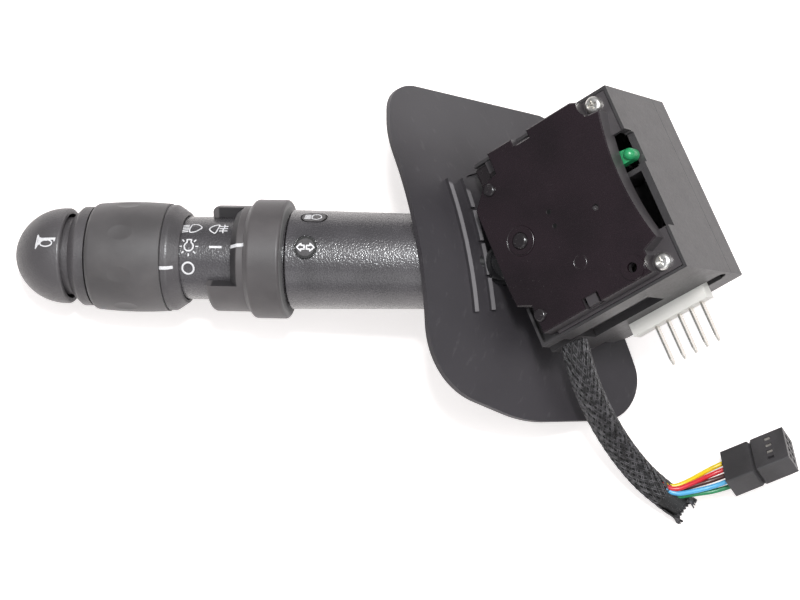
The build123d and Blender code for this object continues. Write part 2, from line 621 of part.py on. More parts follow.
def lever_shaft():
    """The lever's tapered outer shell, cut to seat under the shroud plate."""
    top = on_lever(SHAFT_START)
    foot = -30.0
    drop = (top - foot) * SHAFT_TAPER
    outer = turned(((0, foot), (SHAFT_RADIUS - drop, foot), (SHAFT_RADIUS, top), (0, top)), ((2, 0.8),))
    bore_top = top - 2.6
    bore = turned(((0, foot - 1), (SHAFT_RADIUS - drop - SHAFT_WALL, foot - 1),
                   (SHAFT_RADIUS - SHAFT_WALL, bore_top), (0, bore_top)))
    web_level = on_lever(SHAFT_WEB_AT)
    shell = outer - bore + rod(SHAFT_RADIUS - SHAFT_WALL, web_level, web_level + SHAFT_WALL)
    shell -= rod(TUBE_RADIUS, foot, top + 1)
    shell -= badge_place(BADGE_AT, 0) * rod(BADGE_RADIUS + BADGE_GAP, -BADGE_THICK, 5)
    shell -= badge_place(BEAM_BADGE_AT, BEAM_BADGE_TURN) * beam_badge_form(BADGE_GAP, -BADGE_THICK, 5)
    shell = lever_plane() * shell - plate_plane() * plate_space(-PLATE_THICK, 90.0)
    return shell.solids().sort_by(SortBy.VOLUME)[-1]


def badge_place(station, turn):
    """A seat on the shaft's skin: +Z outward, +X along the lever to its tip."""
    radius = SHAFT_RADIUS - (station - SHAFT_START) * SHAFT_TAPER
    angle = radians(MARK_ROW + turn)
    outward = Vector(-sin(angle), cos(angle), 0)
    origin = outward * radius + Vector(0, 0, on_lever(station))
    return Plane(origin=origin, x_dir=(0, 0, 1), z_dir=outward).location


def beam_badge_form(gap, z0, z1):
    """The oval headlamp badge's form between two levels."""
    shape = SlotOverall(BEAM_BADGE_LONG + 2 * gap, BEAM_BADGE_WIDE + 2 * gap)
    return Pos(0, 0, z0) * extrude(shape, z1 - z0)


def arrows_badge():
    """Round badge that carries the turn arrows, in its recess on the shaft."""
    badge = badge_place(BADGE_AT, 0) * rod(BADGE_RADIUS, -BADGE_THICK, 0.05)
    return lever_plane() * badge


def beam_badge():
    """Oval badge that carries the headlamp sign."""
    badge = badge_place(BEAM_BADGE_AT, BEAM_BADGE_TURN) * beam_badge_form(0.0, -BADGE_THICK, 0.05)
    return lever_plane() * badge


def symbol_sleeve():
    """Fixed sleeve between the two rotary switches; the light and fog signs are printed on it."""
    start = on_lever(INDEX_START + 2.2)
    end = on_lever(SHAFT_START)
    sleeve = tube(SLEEVE_RADIUS, SLEEVE_BORE, end, start)
    for web in (end, (start + end) / 2):
        sleeve += tube(SLEEVE_BORE + 0.5, TUBE_RADIUS, web, web + SLEEVE_WEB)
    return lever_plane() * sleeve


def fog_ring():
    """Rear fog switch: a turning sleeve with a window and a thicker grip band."""
    bore = SLEEVE_RADIUS + 0.12
    start = on_lever(FOG_START)
    step = on_lever(FOG_STEP_AT)
    end = on_lever(FOG_END)
    ring = turned(((bore, end), (FOG_BAND_RADIUS, end), (FOG_BAND_RADIUS, step), (FOG_RADIUS, step + 1.6),
                   (FOG_RADIUS, start), (bore, start)), ((4, 1.6), (1, 0.9), (2, 1.2)))
    reach = 2.5 * FOG_RADIUS
    half = radians(WINDOW_HALF)
    wedge = slab(((0, 0), (reach * sin(half), reach * cos(half)), (-reach * sin(half), reach * cos(half))),
                 step, start + 1)
    foot = start - WINDOW_LENGTH
    opening = turned(((bore - 1, foot), (FOG_RADIUS - WINDOW_SILL, foot),
                      (FOG_RADIUS + 0.2, foot - WINDOW_SLOPE * (WINDOW_SILL + 0.2) / WINDOW_SILL),
                      (FOG_RADIUS + 0.2, start + 1), (bore - 1, start + 1)))
    return lever_plane() * (ring - (Rot(0, 0, WINDOW_CENTRE) * wedge & opening))


def index_ring():
    """Hard ring with the index mark, and the carrier that the soft grip is moulded on."""
    bore = TUBE_RADIUS + 0.12
    sleeve_gap = SLEEVE_RADIUS + 0.3
    start = on_lever(INDEX_START)
    end = on_lever(INDEX_END)
    front = on_lever(COLLAR_END + RING_GAP)
    profile = ((sleeve_gap, end), (INDEX_END_RADIUS, end), (GRIP_EDGE_RADIUS, end + INDEX_CONE),
               (GRIP_EDGE_RADIUS, start - GRIP_SEAM), (GRIP_EDGE_RADIUS - GRIP_SEAM, start),
               (CARRIER_RADIUS, start), (CARRIER_RADIUS, front - 1.6),
               (bore, front - 1.6), (bore, front - 4.0), (CARRIER_RADIUS - 2.0, front - 4.0),
               (CARRIER_RADIUS - 2.0, start + 1.6), (bore, start + 1.6), (bore, start - 1.8),
               (sleeve_gap, start - 1.8))
    return lever_plane() * turned(profile, ((2, 1.5), (1, 0.4)))


def light_grip():
    """Soft-touch grip of the rotary light switch, with finger dimples."""
    front = on_lever(COLLAR_END + RING_GAP)
    back = on_lever(INDEX_START)
    middle = (front + back) / 2
    curve = ThreePointArc((GRIP_EDGE_RADIUS + 0.3, back), (GRIP_RADIUS, middle), (GRIP_EDGE_RADIUS, front))
    rest = Polyline((GRIP_EDGE_RADIUS, front), (TUBE_RADIUS + 1.0, front), (TUBE_RADIUS + 1.0, front - 1.6),
                    (CARRIER_RADIUS, front - 1.6), (CARRIER_RADIUS, back), (GRIP_EDGE_RADIUS + 0.3, back))
    face = make_face([curve, rest])
    face = fillet(face.vertices().sort_by_distance((GRIP_EDGE_RADIUS, front, 0))[0], 1.6)
    grip = revolve(Plane.XZ * face, Axis.Z)
    for number in range(DIMPLES):
        turn = Rot(0, 0, (number + 0.5) * 360 / DIMPLES)
        away = GRIP_RADIUS + DIMPLE_RADIUS - DIMPLE_DEEP
        grip -= turn * Pos(away, 0, middle + 1.0) * Sphere(DIMPLE_RADIUS)
    return lever_plane() * grip


def end_collar():
    """Fixed collar with the neck that the horn cap slides on, bevelled toward the cap."""
    face = on_lever(CAP_LENGTH + CAP_GAP)
    end = on_lever(COLLAR_END)
    front = on_lever(TUBE_END)
    collar = turned(((TUBE_RADIUS, end), (COLLAR_RADIUS, end), (COLLAR_RADIUS, face - COLLAR_BEVEL),
                     (COLLAR_RADIUS - COLLAR_BEVEL * 0.9, face), (NECK_RADIUS, face),
                     (NECK_RADIUS, front), (TUBE_RADIUS, front)), ((2, 0.8),))
    collar -= tube(NECK_RADIUS - NECK_WALL, TUBE_RADIUS + 1.6, end + 3.0, front + 1)
    return lever_plane() * collar


def horn_cap():
    """Domed push cap of the horn, with its guide stem."""
    rim = on_lever(CAP_LENGTH)
    tip = on_lever(0)
    inner_tip = tip - CAP_WALL - 0.4
    cap = domed_plug(CAP_RADIUS, CAP_NOSE, rim, tip)
    cap = fillet(cap.edges().filter_by(GeomType.CIRCLE).sort_by(Axis.Z)[0], 0.9)
    cap -= domed_plug(CAP_RADIUS - CAP_WALL, CAP_NOSE - CAP_WALL, rim - 1, inner_tip)
    cap += rod(TUBE_BORE - 0.1, on_lever(TUBE_END + 6), tip - CAP_WALL)
    return lever_plane() * cap


def domed_plug(radius, nose, foot, tip):
    """A round plug whose upper end is a round nose that runs into its side in one wide arc."""
    shoulder = on_lever(CAP_SHOULDER)
    deep = tip - nose - shoulder
    side = (radius ** 2 + deep ** 2 - nose ** 2) / (2 * (radius - nose))
    turn = atan2(side - radius, deep)
    centre = tip - nose
    join = (nose * sin(turn), centre + nose * cos(turn))
    top = ThreePointArc(join, (nose * sin(turn / 2), centre + nose * cos(turn / 2)), (0, tip))
    middle = (turn + pi / 2) / 2
    flank = ThreePointArc((radius, shoulder),
                          (radius - side + side * sin(middle), shoulder + side * cos(middle)), join)
    rest = Polyline((0, tip), (0, foot), (radius, foot), (radius, shoulder))
    return revolve(Plane.XZ * make_face([flank, top, rest]), Axis.Z)


def horn_spring():
    """Return spring of the horn cap, round its stem."""
    seat = on_lever(TUBE_END)
    coil = Helix(pitch=2.0, height=6.4, radius=TUBE_BORE + 1.1)
    wire = Plane(origin=coil @ 0, z_dir=coil % 0) * Circle(0.35)
    return lever_plane() * Pos(0, 0, seat + 0.5) * sweep(wire, path=coil, is_frenet=True)


def horn_contact():
    """Brass contact ring on the neck, under the horn cap."""
    seat = on_lever(TUBE_END)
    return lever_plane() * Pos(0, 0, seat - 2.0) * tube(NECK_RADIUS - 2.2, TUBE_RADIUS + 1.8, -0.6, 0.6)


# ---------------------------------------------------------------- shroud plate
def plate_space(foot, top):
    """Everything between two offsets from the plate's bent face, as a wide slab."""
    reach = 110.0
    bend = asin(PLATE_BEND_HALF / PLATE_BEND_RADIUS)
    lower = bent_line(foot, bend, reach)
    upper = bent_line(top, bend, reach) if top < 20 else flat_line(top, reach)
    sides = [Line(lower[0] @ 0, upper[0] @ 0), Line(lower[-1] @ 1, upper[-1] @ 1)]
    section = make_face(lower + upper + sides)
    return Pos(-90, 0, 0) * extrude(Plane.YZ * section, 180)


def bent_line(level, bend, reach):
    """The bent section at an offset: flat flange, arc, flat flange."""
    radius = PLATE_BEND_RADIUS + level
    edge_x = radius * sin(bend)
    edge_y = radius * cos(bend) - PLATE_BEND_RADIUS
    far_x = edge_x + reach * cos(bend)
    far_y = edge_y - reach * sin(bend)
    return [Line((-far_x, far_y), (-edge_x, edge_y)),
            ThreePointArc((-edge_x, edge_y), (0, level), (edge_x, edge_y)),
            Line((edge_x, edge_y), (far_x, far_y))]


def flat_line(level, reach):
    """A straight upper edge, for cutting tools only."""
    return [Line((-reach, level), (reach, level))]


PLATE_CORNERS = (
    ((-36.8, 48.0), 12.0),
    ((30.5, 61.6), 6.0),
    ((25.5, 46.8), 5.0),
    ((0.0, 31.5), 8.0),
    ((-9.0, 25.2), 2.0),
    ((-6.0, 15.5), 6.0),
    ((-3.0, 9.5), 4.0),
    ((6.0, 7.0), 4.0),
    ((15.0, -12.0), 6.0),
    ((33.0, -17.5), 8.0),
    ((44.0, -13.5), 5.0),
    ((52.5, -3.5), 2.0),
    ((71.5, -27.2), 11.5),
    ((27.0, -40.8), 45.0),
    ((-8.5, -39.2), 26.0),
    ((-36.8, 29.3), 28.0),
)


def plate_outline():
    """The plate's outline on its slope: two wings round the lever, clear of the case."""
    face = make_face(Polyline(*[corner for corner, _ in PLATE_CORNERS], close=True))
    for corner, radius in PLATE_CORNERS:
        face = fillet(face.vertices().sort_by_distance((*corner, 0))[0], radius)
    return face


def plate_ribs():
    """One whole rib and one in four lengths beside it, square to the plate's face."""
    half = RIB_LENGTH / 2
    ribs = Rectangle(RIB_LENGTH, RIB_WIDTH)
    segment = (RIB_LENGTH - 3 * RIB_GAP) / 4
    for number in range(4):
        along = -half + segment / 2 + number * (segment + RIB_GAP)
        ribs += Pos(along, -RIB_SPACING) * Rectangle(segment, RIB_WIDTH)
    return Pos(*RIB_MIDDLE) * Rot(0, 0, RIB_HEADING) * ribs


def shroud_plate():
    """Bent closing plate that travels with the lever behind the column's shroud."""
    sheet = plate_space(-PLATE_THICK, 0.0) & Pos(0, 0, -60) * extrude(plate_outline(), 90)
    ribs = plate_space(-0.2, RIB_HEIGHT) & Pos(0, 0, -60) * extrude(plate_ribs(), 90)
    plate = plate_plane() * (sheet + ribs)
    root = rod(ROOT_NECK_RADIUS, -5, TUBE_START) + rod(TUBE_RADIUS, TUBE_START, 45)
    plate -= lever_plane() * (root + Pos(0, 0, ROOT_BALL_AT) * Sphere(ROOT_BALL_RADIUS))
    return plate.solids().sort_by(SortBy.VOLUME)[-1]


# ---------------------------------------------------------------- cable and plug
def cable_path(points):
    """Straight runs joined by tangent arcs, each as large as its two runs allow."""
    nodes = [Vector(*point) for point in points]
    radii = []
    for before, here, after in zip(nodes, nodes[1:], nodes[2:]):
        turn = (here - before).get_angle(after - here)
        shorter = min((here - before).length, (after - here).length)
        radii.append(RUN_SHARE * shorter / tan(radians(turn / 2)))
    return FilletPolyline(*nodes, radius=radii), radii


def swept_tube(points, outer, bore=0.0):
    """A tube of round section along a cable path."""
    path, radii = cable_path(points)
    section = Circle(outer) - Circle(bore) if bore else Circle(outer)
    start = Plane(origin=path @ 0, z_dir=path % 0)
    solid = sweep(start * section, path=path)
    print("arc radii", [round(radius, 1) for radius in radii],
          "length", round(path.length, 1), "volume share",
          round(solid.volume / (pi * (outer ** 2 - bore ** 2) * path.length), 3))
    return solid


def cable_seat():
    """The bore that holds the sleeve's first run, in the row frame."""
    start, towards = [Vector(*point) for point in CABLE_ROUTE[:2]]
    return Plane(origin=start, z_dir=towards - start) * rod(CABLE_RADIUS, 0, 10)


def cable_sleeve():
    """Braided sleeve over the wires, open at its far end."""
    return swept_tube(CABLE_ROUTE, CABLE_RADIUS, CABLE_RADIUS - CABLE_WALL)


def wire_route(number):
    """A wire from inside the sleeve to its way in the plug."""
    earlier, before, end = [Vector(*point) for point in CABLE_ROUTE[-3:]]
    heading = (end - before).normalized()
    plug = plug_plane()
    across = (plug.y_dir - heading * plug.y_dir.dot(heading)).normalized()
    over = heading.cross(across)
    angle = radians(36 + 72 * number)
    shift = (across * cos(angle) + over * sin(angle)) * WIRE_CIRCLE
    inside = before + (earlier - before).normalized() * WIRE_INSIDE + shift
    mouth = end + heading * WIRE_MOUTH + shift
    way = plug.from_local_coords(Vector(0.3, *wire_way(number)))
    return (inside, before + shift, mouth, way - plug.x_dir * WIRE_LEAD, way)


WIRE_WAYS = ((1, 1), (2, 1), (3, 0), (2, 0), (1, 0))


def wire_way(number):
    """Centre of the plug way that a wire enters, across and up in the plug's frame."""
    column, row = WIRE_WAYS[number]
    across = PLUG_SIDE_WALL + PLUG_PITCH * (column + 0.5)
    up = PLUG_FACE_WALL + PLUG_PITCH * (row + 0.5)
    return -across, up - plug_height()


def plug_height():
    """Height of the plug: two rows and two walls."""
    return 2 * PLUG_PITCH + 2 * PLUG_FACE_WALL


def plug_width():
    """Width of the plug: four ways and two walls."""
    return PLUG_WAYS * PLUG_PITCH + 2 * PLUG_SIDE_WALL


def plug_plane():
    """The plug's frame: +X to its mating end, origin at its upper rear corner."""
    return Plane(origin=PLUG_CORNER, x_dir=PLUG_ALONG, z_dir=PLUG_UP)


def plug_housing():
    """Black 2 x 4 receptacle with latch windows, notches and square cavities."""
    wide = plug_width()
    high = plug_height()
    body = block(0, PLUG_LENGTH, -wide, 0, -high, 0)
    body = chamfer(body.edges().filter_by(Axis.X), 0.3)
    notch_at = PLUG_LENGTH * 0.46
    for y in (0, -wide):
        body -= Pos(notch_at, y, -high / 2) * Rot(0, 0, 45) * Box(1.3, 1.3, high + 2)
    body -= Pos(notch_at, -wide / 2, 0) * Rot(0, 45, 0) * Box(0.9, wide + 2, 0.9)
    for column in range(PLUG_WAYS):
        y = -(PLUG_SIDE_WALL + PLUG_PITCH * (column + 0.5))
        body -= Pos(PLUG_LENGTH * 0.74, y, 0) * Box(2.0, 1.1, 1.6)
        for row in range(2):
            z = PLUG_FACE_WALL + PLUG_PITCH * (row + 0.5) - high
            body -= Pos(PLUG_LENGTH - 3.0, y, z) * Box(6.1, 1.7, 1.7)
            body -= Pos(1.5, y, z) * Box(3.1, 2.05, 2.05)
    return plug_plane() * body


def plug_contacts():
    """Spring contacts in the plug's ways."""
    contacts = []
    for column in range(PLUG_WAYS):
        for row in range(2):
            y = -(PLUG_SIDE_WALL + PLUG_PITCH * (column + 0.5))
            z = PLUG_FACE_WALL + PLUG_PITCH * (row + 0.5) - plug_height()
            sleeve = Pos(PLUG_LENGTH - 3.6, y, z) * (Box(4.8, 1.5, 1.5) - Box(6.0, 0.9, 0.9))
            contacts.append((plug_plane() * sleeve).solid())
    return Compound(children=contacts)


# ---------------------------------------------------------------- assembly
WIRE_NAMES = ("wire_yellow", "wire_red", "wire_blue", "wire_green", "wire_brown")

CASE_PARTS = {
    "front_cover": front_cover,
    "switch_housing": switch_housing,
    "back_cover": back_cover,
    "contact_board": contact_board,
    "terminal_header": terminal_header,
    "blade_terminals": blade_terminals,
    "cover_screws": cover_screws,
    "stake_pegs": stake_pegs,
    "detent_cam": detent_cam,
    "cable_gland": cable_gland,
    "rocker_cage": rocker_cage,
    "pivot_pins": pivot_pins,
    "flash_pin": flash_pin,
    "detent_plunger": detent_plunger,
    "detent_spring": detent_spring,
    "moving_contact": moving_contact,
    "cancel_pawl": cancel_pawl,
    "pawl_pin": pawl_pin,
    "lever_root": lever_root,
    "lever_tube": lever_tube,
    "lever_shaft": lever_shaft,
    "arrows_badge": arrows_badge,
    "beam_badge": beam_badge,
    "symbol_sleeve": symbol_sleeve,
    "fog_ring": fog_ring,
    "index_ring": index_ring,
    "light_grip": light_grip,
    "end_collar": end_collar,
    "horn_cap": horn_cap,
    "horn_spring": horn_spring,
    "horn_contact": horn_contact,
    "shroud_plate": shroud_plate,
}


def lying_place(solids):
    """Moves the case frame so that the part lies on z = 0 with its box centred."""
    turn = Location((0, 0, 0), LYING)
    boxes = [(turn * solid).bounding_box() for solid in solids]
    low = [min(box.min.X for box in boxes), min(box.min.Y for box in boxes), min(box.min.Z for box in boxes)]
    high = [max(box.max.X for box in boxes), max(box.max.Y for box in boxes)]
    return Location((-(low[0] + high[0]) / 2, -(low[1] + high[1]) / 2, -low[2])) * turn


def build_all():
    """Every named piece, lying as it is used: on a flat surface."""
    made = {name: make() for name, make in CASE_PARTS.items()}
    place = lying_place(made.values())
    pieces = {name: place * piece for name, piece in made.items()}
    pieces["cable_gland"] -= cable_seat()
    pieces["cable_sleeve"] = cable_sleeve()
    for number, name in enumerate(WIRE_NAMES):
        pieces[name] = swept_tube(wire_route(number), WIRE_RADIUS)
    pieces["plug_housing"] = plug_housing()
    pieces["plug_contacts"] = plug_contacts()
    return place, pieces


PLACE, PIECES = build_all()
os.makedirs("parts", exist_ok=True)
for piece_name, piece in PIECES.items():
    export_step(piece, f"parts/{piece_name}.step")
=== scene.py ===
import math

import bmesh
import bpy
from mathutils import Matrix, Vector
from mathutils.bvhtree import BVHTree
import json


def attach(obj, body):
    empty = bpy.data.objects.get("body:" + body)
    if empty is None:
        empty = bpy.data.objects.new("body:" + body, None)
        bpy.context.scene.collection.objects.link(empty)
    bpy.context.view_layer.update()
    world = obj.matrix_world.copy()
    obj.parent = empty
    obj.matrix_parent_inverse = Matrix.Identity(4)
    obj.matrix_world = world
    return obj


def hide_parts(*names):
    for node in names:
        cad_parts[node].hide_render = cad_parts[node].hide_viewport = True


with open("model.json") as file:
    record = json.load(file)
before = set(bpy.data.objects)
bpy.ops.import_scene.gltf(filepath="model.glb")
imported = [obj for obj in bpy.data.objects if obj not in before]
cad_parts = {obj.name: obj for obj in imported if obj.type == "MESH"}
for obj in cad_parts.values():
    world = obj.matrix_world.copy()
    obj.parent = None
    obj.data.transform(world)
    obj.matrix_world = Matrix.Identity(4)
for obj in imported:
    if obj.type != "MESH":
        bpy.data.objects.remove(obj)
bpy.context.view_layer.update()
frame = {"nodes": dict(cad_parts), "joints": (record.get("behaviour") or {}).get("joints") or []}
nodes = frame["nodes"]

# ------------------------------------------------------------------------------------------
# Camera. It stands high over the switch and looks down on it, a little from the front, as
# someone does who has laid a spare part on the bench.

CAMERA_PLACE = (0.00808, -0.13924, 0.66929)
CAMERA_DIP = 79                    # degrees below level

eye = bpy.data.cameras.new("bench_camera")
eye.sensor_width = 36.0
eye.lens = 99.0
camera = bpy.data.objects.new("bench_camera", eye)
bpy.context.scene.collection.objects.link(camera)
camera.location = CAMERA_PLACE
camera.rotation_euler = (math.radians(90 - CAMERA_DIP), 0, 0)
bpy.context.scene.camera = camera

# ------------------------------------------------------------------------------------------
# Cable: a black braided polyester sleeve, pushed over five thin wires. It leaves the clamp under
# the case, drops to the bench and ends in a frayed mouth before the plug. The mouth is open on
# its upper side, and only a dark inner lip stands round the wires there. The lip and a tube under
# the braid are near black: painted shade of the sleeve's inside.

MM = 0.001
SLEEVE_POINTS = (
    (0.05880, -0.02708, 0.03257),
    (0.06115, -0.03541, 0.02930),
    (0.06495, -0.04378, 0.02400),
    (0.07034, -0.05237, 0.01700),
    (0.07730, -0.06095, 0.01040),
    (0.08463, -0.06793, 0.00620),
    (0.09303, -0.07376, 0.00450),
)
LINER_RADIUS = 3.75 * MM
LINER_TAPER = (1.0, 1.0, 1.0, 1.0, 1.0, 1.0, 0.8)
BENCH_CLEAR = 0.25 * MM            # the lowest that the middle of a thread lies

STRANDS = 13                       # each way round, in two lanes
LANE_APART = 0.32                  # of the room that a strand has
BRAID_TURNS = 1.35
STRAND_OUT = 3.98                  # from the sleeve's middle line
STRAND_WAVE = 0.10                 # out over one crossing and in under the next
STRAND_RADIUS = 0.2 * MM
MOUTH_AT = 0.93                    # of the sleeve's length, where its upper side ends
MOUTH_RISE = 0.3                   # the height in the mouth, -1 to 1, above which it is open

FRAY_THREADS = 260
FRAY_RISE = 0.55                   # as MOUTH_RISE, for the loose ends
FRAY_LENGTH = 2.1
FRAY_UNEVEN = 0.45                 # how much the loose ends differ in length
FRAY_OUT = 3.95
FRAY_FLARE = 0.55                  # how far they spread outward
FRAY_LOOSE = 0.12                  # and how much that differs
FRAY_TWIST = 0.40                  # radians round the mouth
FRAY_RADIUS = 0.17 * MM
FRAY_STEPS = 5

# The lip's section, along the sleeve past its end and out from its middle line.
LIP_PROFILE = ((-4.2, 3.86), (-2.0, 3.86), (0.0, 3.88), (1.6, 4.30), (1.6, 4.22), (0.0, 3.80),
               (-4.2, 3.78))
LIP_START = 150                    # degrees round the mouth
LIP_SWEEP = 240
LIP_STEPS = 36


class Value:
    """A number in a material; arithmetic on it adds Math nodes."""

    def __init__(self, finish, socket):
        self.finish = finish
        self.socket = socket

    def _maths(self, operation, *others):
        values = dict(enumerate((self, *others)))
        return self.finish.add("ShaderNodeMath", {"operation": operation}, values)

    def __add__(self, other):
        return self._maths("ADD", other)

    def __mul__(self, other):
        return self._maths("MULTIPLY", other)

    def __sub__(self, other):
        return self._maths("SUBTRACT", other)

    def __rsub__(self, other):
        return (self * -1.0)._maths("ADD", other)

    __radd__ = __add__
    __rmul__ = __mul__

    def larger(self, other):
        """The larger of two numbers."""
        return self._maths("MAXIMUM", other)

    def size(self):
        """The number without its sign."""
        return self._maths("ABSOLUTE")

    def over(self, low, high):
        """0 below low, 1 above high, a soft ramp between."""
        settings = {"interpolation_type": "SMOOTHSTEP"}
        return self.finish.add("ShaderNodeMapRange", settings, {0: self, 1: low, 2: high})


class Finish:
    """A material and its nodes."""

    def __init__(self, name):
        self.material = bpy.data.materials.new(name)
        self.material.use_nodes = True
        self.tree = self.material.node_tree
        self.tree.nodes.clear()
        self.place = self.add("ShaderNodeTexCoord", {}, {}, "Object")

    def add(self, kind, settings, inputs, output=0):
        """A node of this kind, with its settings and the values or links of its sockets."""
        node = self.tree.nodes.new(kind)
        for name, value in settings.items():
            setattr(node, name, value)
        for name, value in inputs.items():
            if isinstance(value, Value):
                self.tree.links.new(value.socket, node.inputs[name])
            else:
                node.inputs[name].default_value = value
        return Value(self, node.outputs[output])

    def noise(self, scale, detail=2.0, stretch=(1, 1, 1)):
        """Noise in features per metre, stretched along the axes if asked."""
        place = self.add("ShaderNodeMapping", {}, {"Vector": self.place, "Scale": stretch})
        inputs = {"Vector": place, "Scale": scale, "Detail": detail}
        return self.add("ShaderNodeTexNoise", {}, inputs, "Fac")

    def cells(self, scale):
        """The distance to the middle of the nearest cell, in cells per metre."""
        inputs = {"Vector": self.place, "Scale": scale}
        return self.add("ShaderNodeTexVoronoi", {}, inputs, "Distance")

    def speckle(self, scale, low, high):
        """Scattered dots: 1 in a dot, 0 between."""
        return 1.0 - self.cells(scale).over(low, high)

    def vector(self, operation, one, other, output=0):
        """Vector Math on two places or directions."""
        settings = {"operation": operation}
        return self.add("ShaderNodeVectorMath", settings, {0: one, 1: other}, output)

    def apart(self, point):
        """How far the surface is from a point."""
        return self.vector("DISTANCE", self.place, point, "Value")

    def reach(self, way, start):
        """How far the surface lies from a start, along a direction."""
        return self.vector("DOT_PRODUCT", self.place, way, "Value") - start.dot(way)

    def blend(self, mask, low, high):
        """One colour where the mask is 0, the other where it is 1."""
        colours = {6: low if isinstance(low, Value) else (*low, 1.0),
                   7: high if isinstance(high, Value) else (*high, 1.0), 0: mask}
        return self.add("ShaderNodeMix", {"data_type": "RGBA"}, colours, 2)

    def bump(self, height, depth, strength=1.0, normal=None):
        """Relief from a height of 0 to 1, depth deep."""
        inputs = {"Height": height, "Distance": depth, "Strength": strength}
        if normal:
            inputs["Normal"] = normal
        return self.add("ShaderNodeBump", {}, inputs)

    def close(self, **sockets):
        """Adds the shader with these sockets, and gives the material."""
        inputs = {name.replace("_", " "): value for name, value in sockets.items()}
        shader = self.add("ShaderNodeBsdfPrincipled", {}, inputs)
        end = self.tree.nodes.new("ShaderNodeOutputMaterial")
        self.tree.links.new(shader.socket, end.inputs["Surface"])
        return self.material


def moulded(name, colour, rough, grain, depth, cloud=0.25, dust=0.12):
    """Moulded plastic: cloudy colour, fine grain and a trace of dust that dulls the shine."""
    finish = Finish(name)
    clouds = finish.noise(70.0, 3.0)
    streaks = finish.noise(120.0, 4.0, (1, 1, 5))
    fine = finish.noise(grain, 2.0)
    dusty = finish.speckle(950.0, 0.10, 0.26) * finish.noise(160.0, 2.0).over(0.50, 0.72)
    dark = tuple(part * (1 - cloud) for part in colour)
    light = tuple(min(1.0, part * (1 + cloud) + 0.003) for part in colour)
    body = finish.blend(clouds.over(0.3, 0.7), dark, light)
    body = finish.blend(dusty * dust, body, (0.42, 0.41, 0.40))
    return finish.close(
        Base_Color=body,
        Roughness=fine * 0.16 + streaks * 0.10 + dusty * 0.3 + (rough - 0.13),
        Normal=finish.bump(fine, depth * MM),
    )


def paint_node(node, material):
    """Gives a CAD node its material."""
    piece = nodes[node]
    piece.data.materials.clear()
    piece.data.materials.append(material)


def add_piece(name, mesh, material, body):
    """A new piece of the object that rides on one of its bodies."""
    piece = bpy.data.objects.new(name, mesh)
    bpy.context.scene.collection.objects.link(piece)
    mesh.materials.clear()
    mesh.materials.append(material)
    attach(piece, body)
    return piece


def cord_curve(name, points, radius):
    """A smooth round cord on its route's points."""
    line = bpy.data.curves.new(name, "CURVE")
    line.dimensions = "3D"
    spline = line.splines.new("NURBS")
    spline.points.add(len(points) - 1)
    for spot, point in zip(spline.points, points):
        spot.co = (*point, 1.0)
    spline.order_u = 3
    spline.use_endpoint_u = True
    line.resolution_u = 14
    line.bevel_depth = radius
    line.bevel_resolution = 5
    line.use_fill_caps = True
    return line


def read_line(name, points):
    """The points that a cord's smooth line passes through."""
    line = cord_curve(name, points, 0.0)
    holder = bpy.data.objects.new(name, line)
    bpy.context.scene.collection.objects.link(holder)
    bpy.context.view_layer.update()
    mesh = bpy.data.meshes.new_from_object(holder)
    spots = [vertex.co.copy() for vertex in mesh.vertices]
    bpy.data.objects.remove(holder)
    return spots


def carried_frames(line):
    """Each point of a line with the directions to its side and up, with no twist."""
    frames = []
    up = Vector((0, 0, 1))
    for number, spot in enumerate(line):
        after = line[min(number + 1, len(line) - 1)]
        before = line[max(number - 1, 0)]
        along = (after - before).normalized()
        side = along.cross(up).normalized()
        up = side.cross(along).normalized()
        frames.append((spot, side, up))
    return frames


def threads(name, paths, radius):
    """Many thin threads as one mesh."""
    line = bpy.data.curves.new(name, "CURVE")
    line.dimensions = "3D"
    for path in paths:
        spline = line.splines.new("POLY")
        spline.points.add(len(path) - 1)
        for spot, point in zip(spline.points, path):
            spot.co = (*point, 1.0)
    line.bevel_depth = radius
    line.bevel_resolution = 0
    line.use_fill_caps = True
    holder = bpy.data.objects.new(name, line)
    bpy.context.scene.collection.objects.link(holder)
    bpy.context.view_layer.update()
    mesh = bpy.data.meshes.new_from_object(holder)
    bpy.data.objects.remove(holder)
    for face in mesh.polygons:
        face.use_smooth = True
    return mesh


braid = Finish("braid_polyester")
braid_fibre = braid.noise(5200.0, 3.0)
braid_patch = braid.noise(700.0, 3.0).over(0.35, 0.7)
braid_black = braid.close(
    Base_Color=braid.blend(braid_patch, (0.015, 0.014, 0.015), (0.125, 0.121, 0.129)),
    Roughness=braid_fibre * 0.25 + 0.28,
    Normal=braid.bump(braid_fibre, 0.05 * MM),
)

# Painted shade: the liner under the braid and the lip in the mouth are near black, standing for
# the shade inside the sleeve.
under = Finish("sleeve_shadow")
under_grain = under.noise(1500.0, 2.0)
under_speck = under.speckle(2300.0, 0.10, 0.30)
under_body = under.blend(under_grain, (0.004, 0.004, 0.004), (0.014, 0.014, 0.015))
sleeve_shade_black = under.close(
    Base_Color=under.blend(under_speck * 0.6, under_body, (0.16, 0.155, 0.165)),
    Roughness=under_grain * 0.2 + 0.6,
)

liner_tube = cord_curve("sleeve_liner", SLEEVE_POINTS, LINER_RADIUS)
liner = bpy.data.objects.new("sleeve_liner", liner_tube)
bpy.context.scene.collection.objects.link(liner)
liner.data.materials.append(sleeve_shade_black)
for spot, share in zip(liner_tube.splines[0].points, LINER_TAPER):
    spot.radius = share
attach(liner, "case")
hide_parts("cable_sleeve")

